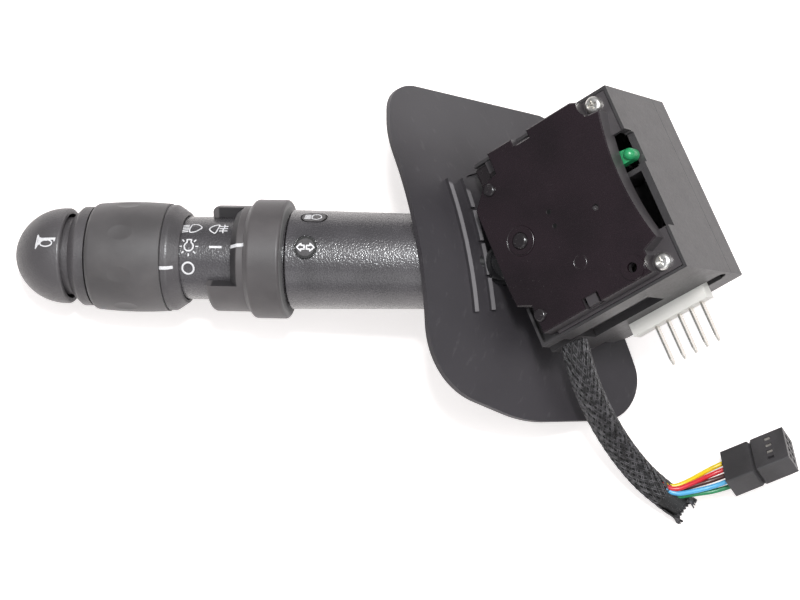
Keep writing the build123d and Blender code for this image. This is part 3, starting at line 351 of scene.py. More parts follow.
sleeve_line = read_line("sleeve_reading", SLEEVE_POINTS)
sleeve_frames = carried_frames(sleeve_line)
last_step = len(sleeve_frames) - 1
strand_paths = []
for way in (-1, 1):
    for number in range(STRANDS):
        for lane in (-0.5, 0.5):
            path = []
            for step, (spot, side, up) in enumerate(sleeve_frames):
                turn = BRAID_TURNS * step / last_step * way
                angle = 2 * math.pi * (turn + (number + lane * LANE_APART) / STRANDS)
                if step > MOUTH_AT * last_step and math.sin(angle) > MOUTH_RISE:
                    break
                crossing = math.cos(math.pi * STRANDS * BRAID_TURNS * 2 * step / last_step) * way
                radius = (STRAND_OUT + STRAND_WAVE * crossing) * MM
                point = spot + (side * math.cos(angle) + up * math.sin(angle)) * radius
                point.z = max(point.z, BENCH_CLEAR)
                path.append(point)
            strand_paths.append(path)
weave = add_piece("sleeve_braid", threads("sleeve_braid", strand_paths, STRAND_RADIUS),
                  braid_black, "case")

end_spot, end_side, end_up = sleeve_frames[-1]
end_way = (sleeve_line[-1] - sleeve_line[-2]).normalized()


def mouth_point(angle, along, radius):
    """A point of the sleeve's open mouth, in millimetres."""
    around = end_side * math.cos(angle) + end_up * math.sin(angle)
    spot = end_spot + (end_way * along + around * radius) * MM
    spot.z = max(spot.z, BENCH_CLEAR)
    return spot


fray_paths = []
for number in range(FRAY_THREADS):
    angle = 2 * math.pi * number / FRAY_THREADS
    if math.sin(angle) > FRAY_RISE:
        continue
    way = 1 if number % 2 else -1
    length = FRAY_LENGTH + FRAY_UNEVEN * math.sin(number * 5.7 + 1.0)
    loose = FRAY_LOOSE * math.sin(number * 2.39)
    path = []
    for step in range(FRAY_STEPS + 1):
        share = step / FRAY_STEPS
        radius = FRAY_OUT + FRAY_FLARE * share * share + loose * share
        path.append(mouth_point(angle + way * FRAY_TWIST * share, length * share, radius))
    fray_paths.append(path)
fray = add_piece("sleeve_fray", threads("sleeve_fray", fray_paths, FRAY_RADIUS),
                 braid_black, "case")

# The lip is near black: painted shade inside the sleeve's mouth.
lip = bmesh.new()
lip_face = lip.faces.new([lip.verts.new(mouth_point(math.radians(LIP_START), along, radius))
                          for along, radius in LIP_PROFILE])
bmesh.ops.spin(lip, geom=[lip_face], cent=end_spot, axis=-end_way,
               angle=math.radians(LIP_SWEEP), steps=LIP_STEPS, use_merge=False)
for vertex in lip.verts:
    vertex.co.z = max(vertex.co.z, BENCH_CLEAR)
bmesh.ops.recalc_face_normals(lip, faces=lip.faces[:])
lip_mesh = bpy.data.meshes.new("sleeve_lip")
lip.to_mesh(lip_mesh)
lip.free()
lip_piece = add_piece("sleeve_lip", lip_mesh, sleeve_shade_black, "case")

# ------------------------------------------------------------------------------------------
# Wires: five thin vinyl-covered leads. They leave the sleeve through the open upper side of its
# mouth and fan into the back of the plug, where each is pushed into its own way.

WIRE_RADIUS = 0.75 * MM
WIRE_COLOURS = {
    "yellow": (0.90, 0.68, 0.01),
    "red": (0.72, 0.025, 0.04),
    "blue": (0.10, 0.46, 0.80),
    "green": (0.02, 0.26, 0.10),
    "brown": (0.09, 0.025, 0.02),
}
WIRE_POINTS = {
    "yellow": ((0.08010, -0.06134, 0.00854), (0.08656, -0.06629, 0.00700),
               (0.09016, -0.06839, 0.00800), (0.09546, -0.06614, 0.00820),
               (0.10295, -0.06169, 0.00395), (0.10857, -0.05956, 0.00642)),
    "red": ((0.07976, -0.06256, 0.01089), (0.08646, -0.06656, 0.00780),
            (0.09042, -0.06944, 0.00940), (0.09593, -0.06714, 0.00900),
            (0.10306, -0.06373, 0.00545), (0.10868, -0.06160, 0.00792)),
    "blue": ((0.07841, -0.06491, 0.01040), (0.08645, -0.06688, 0.00780),
             (0.09013, -0.07050, 0.00900), (0.09623, -0.06950, 0.00840),
             (0.10329, -0.06782, 0.00846), (0.10891, -0.06569, 0.01093)),
    "green": ((0.07953, -0.06544, 0.00769), (0.08655, -0.06682, 0.00700),
              (0.09003, -0.07122, 0.00720), (0.09555, -0.07030, 0.00700),
              (0.10456, -0.06908, 0.00666), (0.11018, -0.06695, 0.00913)),
    "brown": ((0.07870, -0.06290, 0.00674), (0.08655, -0.06651, 0.00700),
              (0.09033, -0.06955, 0.00760), (0.09612, -0.06775, 0.00740),
              (0.10318, -0.06577, 0.00696), (0.10880, -0.06364, 0.00943)),
}

for colour_name, points in WIRE_POINTS.items():
    colour = WIRE_COLOURS[colour_name]
    vinyl = Finish("vinyl_" + colour_name)
    skin = vinyl.noise(900.0, 2.0)
    scuff = vinyl.noise(300.0, 3.0).over(0.55, 0.75)
    vinyl_material = vinyl.close(
        Base_Color=vinyl.blend(scuff * 0.4, colour, tuple(part * 0.62 for part in colour)),
        Roughness=skin * 0.15 + 0.27,
        Normal=vinyl.bump(skin, 0.03 * MM),
    )
    lead_name = "lead_" + colour_name
    lead = bpy.data.objects.new(lead_name, cord_curve(lead_name, points, WIRE_RADIUS))
    bpy.context.scene.collection.objects.link(lead)
    lead.data.materials.append(vinyl_material)
    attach(lead, "case")
    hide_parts("wire_" + colour_name)

# ------------------------------------------------------------------------------------------
# Plug: a black two-row receptacle moulding. Tinned spring contacts are crimped to the wires and
# pushed into its square ways. Their bent tongues show in three of its latch windows.

PLUG_CORNER = Vector((104.96, -57.07, 5.90)) * MM   # its back end's upper corner
PLUG_ALONG = Vector((0.8650, 0.3284, 0.3794)).normalized()
PLUG_UP = Vector((-0.4998, 0.4956, 0.7104)).normalized()
PLUG_SIDE = PLUG_UP.cross(PLUG_ALONG)
WAY_PITCH = 2.54
FIRST_WAY = 2.47                   # from the corner to the middle of the first window
TONGUE_WIDE = 0.92
TONGUE_FOOT = (14.25, 14.60)       # from and to, along the plug
TONGUE_LEAF = (14.60, 15.95)
TONGUE_TIP = (15.60, 15.95)
TONGUE_SUNK = -0.78                # heights from the plug's upper face
FOOT_TOP = -0.12
LEAF_LOW = -0.45
LEAF_TOP = -0.25
TIP_TOP = -0.30
TONGUE_LIFTS = (0.10, 0.0, 0.05)   # no two contacts sit quite alike

paint_node("plug_housing", moulded("plug_nylon", (0.042, 0.040, 0.043), 0.42, 1500.0, 0.03))

tinned = Finish("tinned_contact")
tin_grain = tinned.noise(1200.0, 3.0, (1, 4, 1))
tin = tinned.close(
    Base_Color=tinned.blend(tin_grain.over(0.3, 0.7), (0.60, 0.57, 0.52), (0.82, 0.80, 0.76)),
    Metallic=1.0,
    Roughness=tin_grain * 0.3 + 0.18,
    Normal=tinned.bump(tin_grain, 0.02 * MM),
)
paint_node("plug_contacts", tin)

tongues = bmesh.new()
for way, lift in enumerate(TONGUE_LIFTS):
    for (low_x, high_x), low_z, high_z in ((TONGUE_FOOT, TONGUE_SUNK, FOOT_TOP),
                                           (TONGUE_LEAF, LEAF_LOW + lift, LEAF_TOP + lift),
                                           (TONGUE_TIP, TONGUE_SUNK, TIP_TOP + lift)):
        for vertex in bmesh.ops.create_cube(tongues, size=1.0)["verts"]:
            x = low_x + (high_x - low_x) * (vertex.co.x + 0.5)
            y = -(FIRST_WAY + WAY_PITCH * way) + TONGUE_WIDE * vertex.co.y
            z = low_z + (high_z - low_z) * (vertex.co.z + 0.5)
            vertex.co = PLUG_CORNER + (PLUG_ALONG * x + PLUG_SIDE * y + PLUG_UP * z) * MM
tongue_mesh = bpy.data.meshes.new("contact_tongues")
tongues.to_mesh(tongue_mesh)
tongues.free()
add_piece("contact_tongues", tongue_mesh, tin, "case")

# ------------------------------------------------------------------------------------------
# Floor and light: a white bench under a small lamp overhead and a broad soft box above it, with
# weak fills from the right and from the front. A second small lamp gives only highlights.

BENCH_HALF = 3.0
ON_BENCH = (0, 0, 0)
ON_SWITCH = (0, 0, 0.02)

bench = bpy.data.meshes.new("bench")
flat = bmesh.new()
bmesh.ops.create_grid(flat, x_segments=1, y_segments=1, size=BENCH_HALF)
flat.to_mesh(bench)
flat.free()
bench_piece = bpy.data.objects.new("bench", bench)
bpy.context.scene.collection.objects.link(bench_piece)
white = Finish("bench_white")
tone = white.noise(3.0, 1.0)
seen = white.add("ShaderNodeLightPath", {}, {}, "Is Camera Ray")
gloss_seen = white.add("ShaderNodeLightPath", {}, {}, "Is Glossy Ray")
bench.materials.append(white.close(
    Base_Color=white.blend(tone, (0.87, 0.835, 0.825), (0.89, 0.855, 0.845)),
    Roughness=0.9,
    Emission_Color=(1.0, 0.975, 0.965, 1.0),
    Emission_Strength=seen * 0.60 + gloss_seen * 0.30,
))


def soft_lamp(name, place, aim, width, height, watts, colour=(1, 1, 1)):
    """A lit rectangle at a place, turned to what it lights."""
    lamp = bpy.data.lights.new(name, "AREA")
    lamp.shape = "RECTANGLE"
    lamp.size = width
    lamp.size_y = height
    lamp.energy = watts
    lamp.color = colour
    holder = bpy.data.objects.new(name, lamp)
    bpy.context.scene.collection.objects.link(holder)
    holder.location = place
    holder.rotation_euler = (Vector(aim) - Vector(place)).to_track_quat("-Z", "Y").to_euler()
    return holder


soft_lamp("key_lamp", (0.03, 0.13, 1.00), ON_SWITCH, width=0.12, height=0.12, watts=5.4,
          colour=(1.0, 0.99, 0.985))
glint_lamp = soft_lamp("glint_lamp", (0.06, 0.02, 1.00), ON_SWITCH, width=0.10, height=0.10,
                       watts=6.5, colour=(0.92, 0.97, 1.0))
glint_lamp.visible_diffuse = False
soft_lamp("ceiling_box", (-0.10, 0.10, 1.35), ON_BENCH, width=1.3, height=1.3, watts=4.2)
soft_lamp("fill_lamp", (0.60, 0.00, 0.75), ON_BENCH, width=0.5, height=0.5, watts=1.8)
soft_lamp("front_fill", (-0.05, -0.80, 0.60), ON_BENCH, width=0.7, height=0.5, watts=1.4)
sky = bpy.data.worlds.new("room")
bpy.context.scene.world = sky
sky.use_nodes = True
backdrop = sky.node_tree.nodes["Background"]
backdrop.inputs["Color"].default_value = (0.96, 0.97, 1.0, 1.0)
backdrop.inputs["Strength"].default_value = 0.30
bpy.context.scene.view_settings.view_transform = "Standard"

# ------------------------------------------------------------------------------------------
# Cover: a glossy black moulded tray, a little brown in strong light. Two screws and two melted
# pegs hold it on the case. Its face has ring marks where ejector pins pushed, and two sink pits.

JOINTS = {joint["name"]: joint for joint in frame["joints"]}
OUT = Vector(JOINTS["turn_signal"]["axis"]).normalized()
PINWARD = -Vector(JOINTS["flash_pull"]["axis"]).normalized()
CASE_TURN = 242.8                  # from the flash pin's direction round to the case's own x
COVER_FACE = 15.0                  # out along the turn pin from the joint's middle
CASE_X = Matrix.Rotation(math.radians(-CASE_TURN), 3, OUT) @ PINWARD
CASE_Y = OUT.cross(CASE_X)
CASE_ORIGIN = Vector(JOINTS["turn_signal"]["pos_m"]) + OUT * COVER_FACE * MM
RING_MARKS = ((0.0, 0.0, 4.3), (14.4, -14.5, 2.0))   # x and y on the case, and radius
SINK_PITS = ((11.6, 3.3), (11.6, -1.3))


def on_case(x, y, z):
    """A point of the case, in millimetres from the turn axis at the cover's face."""
    return CASE_ORIGIN + (CASE_X * x + CASE_Y * y + OUT * z) * MM


cover = Finish("cover_gloss")
cover_cloud = cover.noise(55.0, 3.0)
cover_fine = cover.noise(1400.0, 2.0)
cover_scratch = cover.noise(420.0, 3.0, (1, 9, 1)).over(0.62, 0.74)
cover_dust = cover.speckle(900.0, 0.08, 0.22) * cover.noise(130.0, 2.0).over(0.5, 0.7)
marks = None
for x, y, size in RING_MARKS:
    off_ring = (cover.apart(on_case(x, y, 0)) - size * MM).size()
    ring = 1.0 - off_ring.over(0.05 * MM, 0.30 * MM)
    marks = ring if marks is None else marks.larger(ring)
pits = None
for x, y in SINK_PITS:
    pit = 1.0 - cover.apart(on_case(x, y, 0)).over(0.45 * MM, 0.95 * MM)
    pits = pit if pits is None else pits.larger(pit)
# Painted reflection: the side walls below the cover's face are painted paler, standing for the
# light along them; they are also a little rougher.
lit_side_wall = cover.reach(-OUT, CASE_ORIGIN).over(0.35 * MM, 0.55 * MM)
cover_colour = cover.blend(cover_cloud.over(0.3, 0.7), (0.0085, 0.0040, 0.0065),
                           (0.0155, 0.0080, 0.0120))
cover_colour = cover.blend(cover_dust * 0.05, cover_colour, (0.35, 0.34, 0.33))
# Painted shade: the sink pits are painted almost black, standing for the shade in their hollows.
cover_colour = cover.blend(pits, cover_colour, (0.002, 0.002, 0.002))
cover_colour = cover.blend(lit_side_wall, cover_colour, (0.062, 0.056, 0.060))
cover_rough = cover_fine * 0.10 + cover_scratch * 0.12 + cover_dust * 0.15 + lit_side_wall * 0.10
cover_bump = cover.bump(cover_fine, 0.02 * MM)
cover_bump = cover.bump(1.0 - marks.larger(pits), 0.12 * MM, 0.8, cover_bump)
paint_node("front_cover", cover.close(
    Base_Color=cover_colour,
    Roughness=cover_rough + 0.22,
    Normal=cover_bump,
))
paint_node("stake_pegs", moulded("peg_gloss", (0.016, 0.013, 0.015), 0.17, 900.0, 0.012))

# ------------------------------------------------------------------------------------------
# Cover ear: a small stepped foot of the same glossy plastic under one corner of the cover. It is
# moulded with the cover and fills the corner between it and the case.

# Two corners of each block, in the case's own x, y and height.
EAR_FOOT = ((-7.3, 18.4, -9.4), (1.4, 27.9, -5.8))
EAR_STEP = ((-3.0, 19.2, -8.4), (1.4, 24.4, -4.4))
EAR_FOOT_ROUND = 0.7
EAR_STEP_ROUND = 0.8


def rounded_block(shape, corner_low, corner_high, round_off):
    """A block of the case with its edges rounded, between two corners in millimetres."""
    made = bmesh.ops.create_cube(shape, size=1.0)["verts"]
    for vertex in made:
        share = vertex.co + Vector((0.5, 0.5, 0.5))
        vertex.co = Vector([low + (high - low) * part
                            for low, high, part in zip(corner_low, corner_high, share)])
    edges = list({edge for vertex in made for edge in vertex.link_edges})
    bmesh.ops.bevel(shape, geom=edges, offset=round_off, segments=3, affect="EDGES",
                    profile=0.5, material=-1)


ear = bmesh.new()
rounded_block(ear, *EAR_FOOT, EAR_FOOT_ROUND)
rounded_block(ear, *EAR_STEP, EAR_STEP_ROUND)
for vertex in ear.verts:
    vertex.co = on_case(*vertex.co)
bmesh.ops.recalc_face_normals(ear, faces=ear.faces[:])
ear_mesh = bpy.data.meshes.new("cover_ear")
ear.to_mesh(ear_mesh)
ear.free()
ear_gloss = moulded("ear_gloss", (0.016, 0.012, 0.014), 0.26, 1100.0, 0.02)
add_piece("cover_ear", ear_mesh, ear_gloss, "case")

# ------------------------------------------------------------------------------------------
# Case: dark glass-filled mouldings, slightly dull, clipped together under and behind the cover.
# The header pressed into its lower side is natural white, and the green finger that the column
# pushes turns on a pin in its pocket.

CASE_SEAM = 36.5                   # behind the cover's face, where the two mouldings meet

case_filled = Finish("case_filled")
case_cloud = case_filled.noise(70.0, 3.0)
case_patch = case_filled.noise(260.0, 4.0)
case_fine = case_filled.noise(1300.0, 2.0)
# Painted shade: a thin line along the flush seam between the two mouldings is painted near black,
# and the bump also sinks it as a groove.
off_seam = (case_filled.reach(-OUT, CASE_ORIGIN) - CASE_SEAM * MM).size()
seam_groove_shade = 1.0 - off_seam.over(0.12 * MM, 0.30 * MM)
case_dirt = case_filled.speckle(210.0, 0.05, 0.10) * case_filled.noise(60.0, 2.0).over(0.55, 0.7)
case_body = case_filled.blend(case_cloud * 0.5 + case_patch * 0.5, (0.032, 0.030, 0.032),
                              (0.062, 0.059, 0.061))
case_body = case_filled.blend(case_dirt * 0.35, case_body, (0.30, 0.28, 0.26))
case_plastic = case_filled.close(
    Base_Color=case_filled.blend(seam_groove_shade, case_body, (0.004, 0.004, 0.004)),
    Roughness=case_fine * 0.16 + case_patch * 0.14 + case_dirt * 0.2 + 0.24,
    Normal=case_filled.bump(case_fine - seam_groove_shade, 0.04 * MM),
)
for name in ("switch_housing", "back_cover", "cable_gland"):
    paint_node(name, case_plastic)
paint_node("rocker_cage", moulded("cage_plastic", (0.038, 0.036, 0.037), 0.36, 1200.0, 0.03))
paint_node("contact_board", moulded("board_brown", (0.16, 0.10, 0.04), 0.5, 700.0, 0.03))
header_white = moulded("header_white", (0.86, 0.85, 0.81), 0.42, 1100.0, 0.03, 0.05, 0.05)
paint_node("terminal_header", header_white)
natural = moulded("natural_acetal", (0.60, 0.58, 0.52), 0.38, 1100.0, 0.02, 0.06, 0.05)
paint_node("detent_cam", natural)
paint_node("detent_plunger", natural)
finger_green = moulded("finger_green", (0.02, 0.30, 0.11), 0.30, 1000.0, 0.02, 0.2, 0.05)
paint_node("cancel_pawl", finger_green)
paint_node("blade_terminals", tin)
paint_node("moving_contact", tin)

# ------------------------------------------------------------------------------------------
# Metal parts: zinc-plated pan-head screws in the cover, turned steel pins pressed into the case,
# the lever's steel tube and wound springs. The rocker's two stub pins have glossy domed ends, and
# the horn's contact ring is stamped from sheet brass.

zinc = Finish("zinc_plate")
zinc_turn = zinc.noise(900.0, 3.0, (1, 1, 6))
zinc_patch = zinc.noise(350.0, 2.0)
zinc_plate = zinc.close(
    Base_Color=zinc.blend(zinc_patch.over(0.3, 0.7), (0.66, 0.64, 0.60), (0.90, 0.89, 0.87)),
    Metallic=1.0,
    Roughness=zinc_turn * 0.25 + 0.20,
    Normal=zinc.bump(zinc_turn, 0.03 * MM),
)
steel = Finish("turned_steel")
steel_turn = steel.noise(1100.0, 3.0, (5, 1, 1))
steel_plain = steel.close(
    Base_Color=steel.blend(steel_turn.over(0.3, 0.7), (0.42, 0.42, 0.43), (0.62, 0.62, 0.63)),
    Metallic=1.0,
    Roughness=steel_turn * 0.2 + 0.25,
    Normal=steel.bump(steel_turn, 0.02 * MM),
)
paint_node("cover_screws", zinc_plate)
for name in ("flash_pin", "pawl_pin", "lever_tube", "detent_spring", "horn_spring"):
    paint_node(name, steel_plain)
paint_node("pivot_pins", moulded("pivot_dome", (0.016, 0.013, 0.015), 0.16, 900.0, 0.012))

brass = Finish("sheet_brass")
brass_grain = brass.noise(800.0, 3.0, (6, 1, 1))
paint_node("horn_contact", brass.close(
    Base_Color=brass.blend(brass_grain.over(0.3, 0.7), (0.50, 0.34, 0.12), (0.68, 0.50, 0.22)),
    Metallic=1.0,
    Roughness=brass_grain * 0.2 + 0.25,
    Normal=brass.bump(brass_grain, 0.02 * MM),
))

# ------------------------------------------------------------------------------------------
# Stalk: satin black moulded shells, pushed over the lever's steel tube, with a fine spark-eroded
# grain that glitters where the light grazes it. The rings beside them have the same grain, a
# little duller, and two glossy badges are clipped into the shaft.

TIPWARD = Vector(JOINTS["light_turn"]["axis"]).normalized()
UPWARD = TIPWARD.cross(PINWARD)
PIN = Vector(JOINTS["flash_pull"]["pos_m"])
LEVER_LENGTH = 161.0 * MM
LEVER_TIP = PIN + TIPWARD * LEVER_LENGTH
SHAFT_SHADE_END = 86.0                  # from the tip: the painted shade on the neck under the fog ring ends
STALK_BLACK = (0.072, 0.068, 0.074)
RING_BLACK = (0.078, 0.073, 0.077)
BADGE_SKIN = 14.5                  # from the lever's axis to a badge's face
ARROWS_AT = (92.0, 100.8)          # from the tip, and round the lever
BEAM_AT = (93.2, 145.3)
ARROWS_FACE = 2.55                 # radius of the paler face inside a badge's dark rim
BEAM_FACE = 3.2


def on_lever(station, polar, radius):
    """A point of the lever: millimetres from its tip, degrees round it, millimetres out."""
    angle = math.radians(polar)
    around = PINWARD * math.cos(angle) + UPWARD * math.sin(angle)
    return PIN + TIPWARD * (LEVER_LENGTH - station * MM) + around * radius * MM


def stalk_plastic(name, colour, rough, sparkle, shaded_to=None):
    """Satin plastic with glittering grain, and painted shade in the gap under a ring, nearer the
    tip than a station if one is given.
    """
    finish = Finish(name)
    clouds = finish.noise(60.0, 3.0)
    grain = finish.cells(1700.0)
    fine = finish.noise(4200.0, 2.0)
    glint = finish.noise(3100.0, 1.0).over(0.62, 0.72)
    dust = finish.speckle(800.0, 0.08, 0.2) * finish.noise(140.0, 2.0).over(0.52, 0.7)
    dark = tuple(part * 0.8 for part in colour)
    light = tuple(part * 1.25 for part in colour)
    body = finish.blend(clouds.over(0.3, 0.7), dark, light)
    # Painted highlight: the glints are also mixed paler into the colour, along with the dust.
    body = finish.blend(dust * 0.12 + glint * 0.05 * sparkle, body, (0.40, 0.39, 0.40))
    # Painted shade: the neck that runs into the gap under the fog ring is near black.
    if shaded_to:
        gap_shade = finish.reach(-TIPWARD, LEVER_TIP).over((shaded_to - 0.25) * MM, (shaded_to + 0.25) * MM)
        body = finish.blend(gap_shade, (0.008, 0.007, 0.008), body)
    return finish.close(
        Base_Color=body,
        Roughness=grain * 0.22 + fine * 0.12 - glint * 0.14 * sparkle + (rough - 0.12),
        Coat_Weight=(glint * 0.3 + 0.7) * min(sparkle, 1.0),
        Coat_Roughness=0.25,
        Normal=finish.bump(grain + fine * 0.4, (0.04 + 0.05 * sparkle) * MM),
    )


stalk_satin = stalk_plastic("stalk_satin", STALK_BLACK, 0.21, 1.0)
shaft_satin = stalk_plastic("shaft_satin", STALK_BLACK, 0.20, 1.2, SHAFT_SHADE_END)
ring_satin = stalk_plastic("ring_satin", RING_BLACK, 0.42, 0.4)
paint_node("lever_shaft", shaft_satin)
paint_node("symbol_sleeve", stalk_satin)
for name in ("horn_cap", "end_collar", "index_ring"):
    paint_node(name, ring_satin)
for name, place, inner in (("arrows_badge", ARROWS_AT, ARROWS_FACE),
                           ("beam_badge", BEAM_AT, BEAM_FACE)):
    badge = Finish(name + "_gloss")
    badge_grain = badge.noise(1200.0, 2.0)
    from_middle = badge.apart(on_lever(*place, BADGE_SKIN))
    rim = from_middle.over(inner * MM, (inner + 0.25) * MM)
    badge_face = badge.blend(badge_grain, (0.060, 0.057, 0.060), (0.085, 0.081, 0.085))
    paint_node(name, badge.close(
        Base_Color=badge.blend(rim, badge_face, (0.006, 0.006, 0.006)),
        Roughness=badge_grain * 0.12 + 0.22,
        Normal=badge.bump(badge_grain, 0.02 * MM),
    ))
paint_node("lever_root", moulded("root_gloss", (0.010, 0.010, 0.011), 0.17, 1000.0, 0.01))

# ------------------------------------------------------------------------------------------
# Grips: the light knob and the fog ring turn on the lever. Both are overmoulded with a soft dark
# rubber that looks velvety and takes the light evenly. The walls of the fog ring's window are
# painted near black: painted shade inside the window.

KNOB_RUBBER = (0.100, 0.094, 0.096)
FOG_RUBBER = (0.094, 0.087, 0.089)
FOG_HOLLOW = 15.8                  # radius of the fog ring's inner wall
FOG_WINDOW_END = 97.5              # from the flash pin, where the window's wall ends


def soft_grip(name, colour, rough, hollow=0.0):
    """Soft rubber, with painted shade on the walls of its window inside a hollow radius if one is
    given.
    """
    finish = Finish(name)
    clouds = finish.noise(45.0, 4.0)
    fine = finish.noise(3000.0, 3.0)
    worn = finish.noise(110.0, 3.0).over(0.5, 0.75)
    body = finish.blend(clouds.over(0.3, 0.7), tuple(part * 0.8 for part in colour),
                        tuple(part * 1.25 for part in colour))
    body = finish.blend(worn * 0.06, body, (0.3, 0.28, 0.27))
    # Painted shade on the window's walls, inside the hollow radius.
    if hollow:
        from_pin = finish.vector("SUBTRACT", finish.place, PIN)
        square = finish.vector("CROSS_PRODUCT", from_pin, TIPWARD)
        radius = finish.vector("DISTANCE", square, (0, 0, 0), "Value")
        along = finish.reach(TIPWARD, PIN)
        window_shade = 1.0 - radius.over((hollow - 0.25) * MM, hollow * MM)
        window_shade *= 1.0 - along.over((FOG_WINDOW_END - 0.3) * MM, (FOG_WINDOW_END + 0.3) * MM)
        body = finish.blend(window_shade, body, (0.018, 0.016, 0.018))
    return finish.close(
        Base_Color=body,
        Roughness=fine * 0.12 + clouds * 0.10 + (rough - 0.11),
        Sheen_Weight=0.25,
        Sheen_Roughness=0.4,
        Normal=finish.bump(fine, 0.03 * MM),
    )


paint_node("light_grip", soft_grip("knob_soft", KNOB_RUBBER, 0.52))
paint_node("fog_ring", soft_grip("fog_soft", FOG_RUBBER, 0.50, FOG_HOLLOW))

# ------------------------------------------------------------------------------------------
# Signs: pad-printed in white paint. Each is drawn as strokes in millimetres, u along the lever
# away from its tip and v round it, and laid on the skin that carries it.

STROKE_STEP = 0.35                 # short enough to bend round the lever
PRINT_LIFT = 0.03
PRINT_THICK = 0.05
SKIN_SEARCH = 30 * MM              # from the lever's axis, outside every skin


def arc(u, v, radius, start, end, squash=1.0, count=20):
    """Points of an arc, in degrees."""
    turns = [math.radians(start + (end - start) * step / count) for step in range(count + 1)]
    return [(u + radius * math.cos(turn), v + radius * squash * math.sin(turn)) for turn in turns]


def straight(*corners):
    """A line through corners, in short steps so that it can bend round the lever."""
    points = [corners[0]]
    for (u0, v0), (u1, v1) in zip(corners, corners[1:]):
        steps = max(1, round(math.hypot(u1 - u0, v1 - v0) / STROKE_STEP))
        for step in range(1, steps + 1):
            points.append((u0 + (u1 - u0) * step / steps, v0 + (v1 - v0) * step / steps))
    return points


def egg(corners, count=6):
    """A smooth closed line through its corners."""
    points = []
    total = len(corners)
    for number in range(total):
        before, here, after, beyond = (Vector(corners[(number + step) % total])
                                       for step in (-1, 0, 1, 2))
        for step in range(count):
            t = step / count
            spot = 0.5 * (2 * here + (after - before) * t
                          + (2 * before - 5 * here + 4 * after - beyond) * t * t
                          + (3 * here - before - 3 * after + beyond) * t ** 3)
            points.append((spot.x, spot.y))
    return points + [points[0]]


def arrow(side):
    """One turn arrow, open in its middle."""
    corners = [(0.35, 0.55), (1.35, 0.55), (1.35, 1.15), (2.6, 0.0), (1.35, -1.15), (1.35, -0.55),
               (0.35, -0.55), (0.35, 0.55)]
    return straight(*[(side * u, v) for u, v in corners])


def skin_of(node):
    """A node's surface, to lay a print on."""
    shape = bmesh.new()
    shape.from_mesh(nodes[node].data)
    return BVHTree.FromBMesh(shape)


print_white = Finish("print_paint")
print_grain = print_white.noise(2600.0, 2.0)
print_paint = print_white.close(
    Base_Color=print_white.blend(print_grain.over(0.35, 0.65), (0.78, 0.78, 0.80),
                                 (0.90, 0.90, 0.92)),
    Roughness=print_grain * 0.1 + 0.5,
    Normal=print_white.bump(print_grain, 0.01 * MM),
)


def print_sign(name, node, station, polar, strokes, width, body="lever"):
    """Lays strokes on a node's skin round a place on the lever."""
    skin = skin_of(node)
    centre = on_lever(station, polar, 0)
    out = (on_lever(station, polar, 10) - centre).normalized()
    radius = (skin.ray_cast(centre + out * SKIN_SEARCH, -out)[0] - centre).length
    line = bpy.data.curves.new(name, "CURVE")
    line.dimensions = "3D"
    for stroke in strokes:
        spline = line.splines.new("POLY")
        spline.points.add(len(stroke) - 1)
        for spot, (u, v) in zip(spline.points, stroke):
            spot.co = (u, v, 0, 1)
        spline.use_cyclic_u = stroke[0] == stroke[-1]
    line.bevel_depth = width / 2
    line.bevel_resolution = 2
    line.use_fill_caps = True
    holder = bpy.data.objects.new(name, line)
    bpy.context.scene.collection.objects.link(holder)
    bpy.context.view_layer.update()
    mesh = bpy.data.meshes.new_from_object(holder)
    bpy.data.objects.remove(holder)
    for vertex in mesh.vertices:
        u, v, height = vertex.co
        turn = polar + math.degrees(v * MM / radius)
        base = on_lever(station + u, turn, 0)
        outward = (on_lever(station + u, turn, 10) - base).normalized()
        spot = skin.ray_cast(base + outward * SKIN_SEARCH, -outward)[0]
        vertex.co = spot + outward * (PRINT_LIFT + PRINT_THICK * height / width) * MM
    add_piece(name, mesh, print_paint, body)


low_lamp = ((-0.2, 1.45), (0.55, 1.6), (1.35, 1.55), (2.2, 1.1), (2.85, 0.2), (2.2, -0.65),
            (1.3, -1.3), (0.3, -1.65), (-0.5, -1.6), (-0.72, -0.8), (-0.62, 0.3))
low_beam = [egg(low_lamp)]
low_beam += [straight((-1.0, v), (-2.9, v - 0.3)) for v in (-1.35, -0.7, -0.05, 0.6, 1.25)]
print_sign("sign_low_beam", "symbol_sleeve", 56.7, 131.6, low_beam, 0.40)

side_light = [arc(0, 0, 1.35, 112, 428, 1.0, 28),
              straight((-0.55, 1.3), (-0.72, 2.15), (0.72, 2.15), (0.55, 1.3))]
for ray in (45, 0, -45, -90, -135, 180, 135):
    ray_u, ray_v = math.cos(math.radians(ray)), math.sin(math.radians(ray))
    side_light.append(straight((2.1 * ray_u, 2.1 * ray_v), (2.95 * ray_u, 2.95 * ray_v)))
print_sign("sign_side_light", "symbol_sleeve", 56.4, 102.2, side_light, 0.45)

off_ring = [arc(0, 0, 1.75, 0, 360, 1.0, 32)]
print_sign("sign_off", "symbol_sleeve", 56.3, 72.0, off_ring, 0.58)

rear_lamp = ((-0.1, 1.65), (-1.2, 1.3), (-2.1, 0.6), (-2.5, -0.2), (-2.1, -0.95), (-1.3, -1.55),
             (-0.65, -1.8), (-0.2, -0.9), (0.15, 0.5), (0.3, 1.5))
rear_fog = [egg(rear_lamp)]
rear_fog += [straight((0.5, v), (3.0, v + 0.1)) for v in (-0.95, 0.0, 0.95)]
rear_fog += [[(1.75 + 0.2 * math.sin(step / 10 * 2 * math.pi), 1.7 - 3.4 * step / 10)
              for step in range(11)]]
print_sign("sign_rear_fog", "symbol_sleeve", 64.5, 131.2, rear_fog, 0.42)

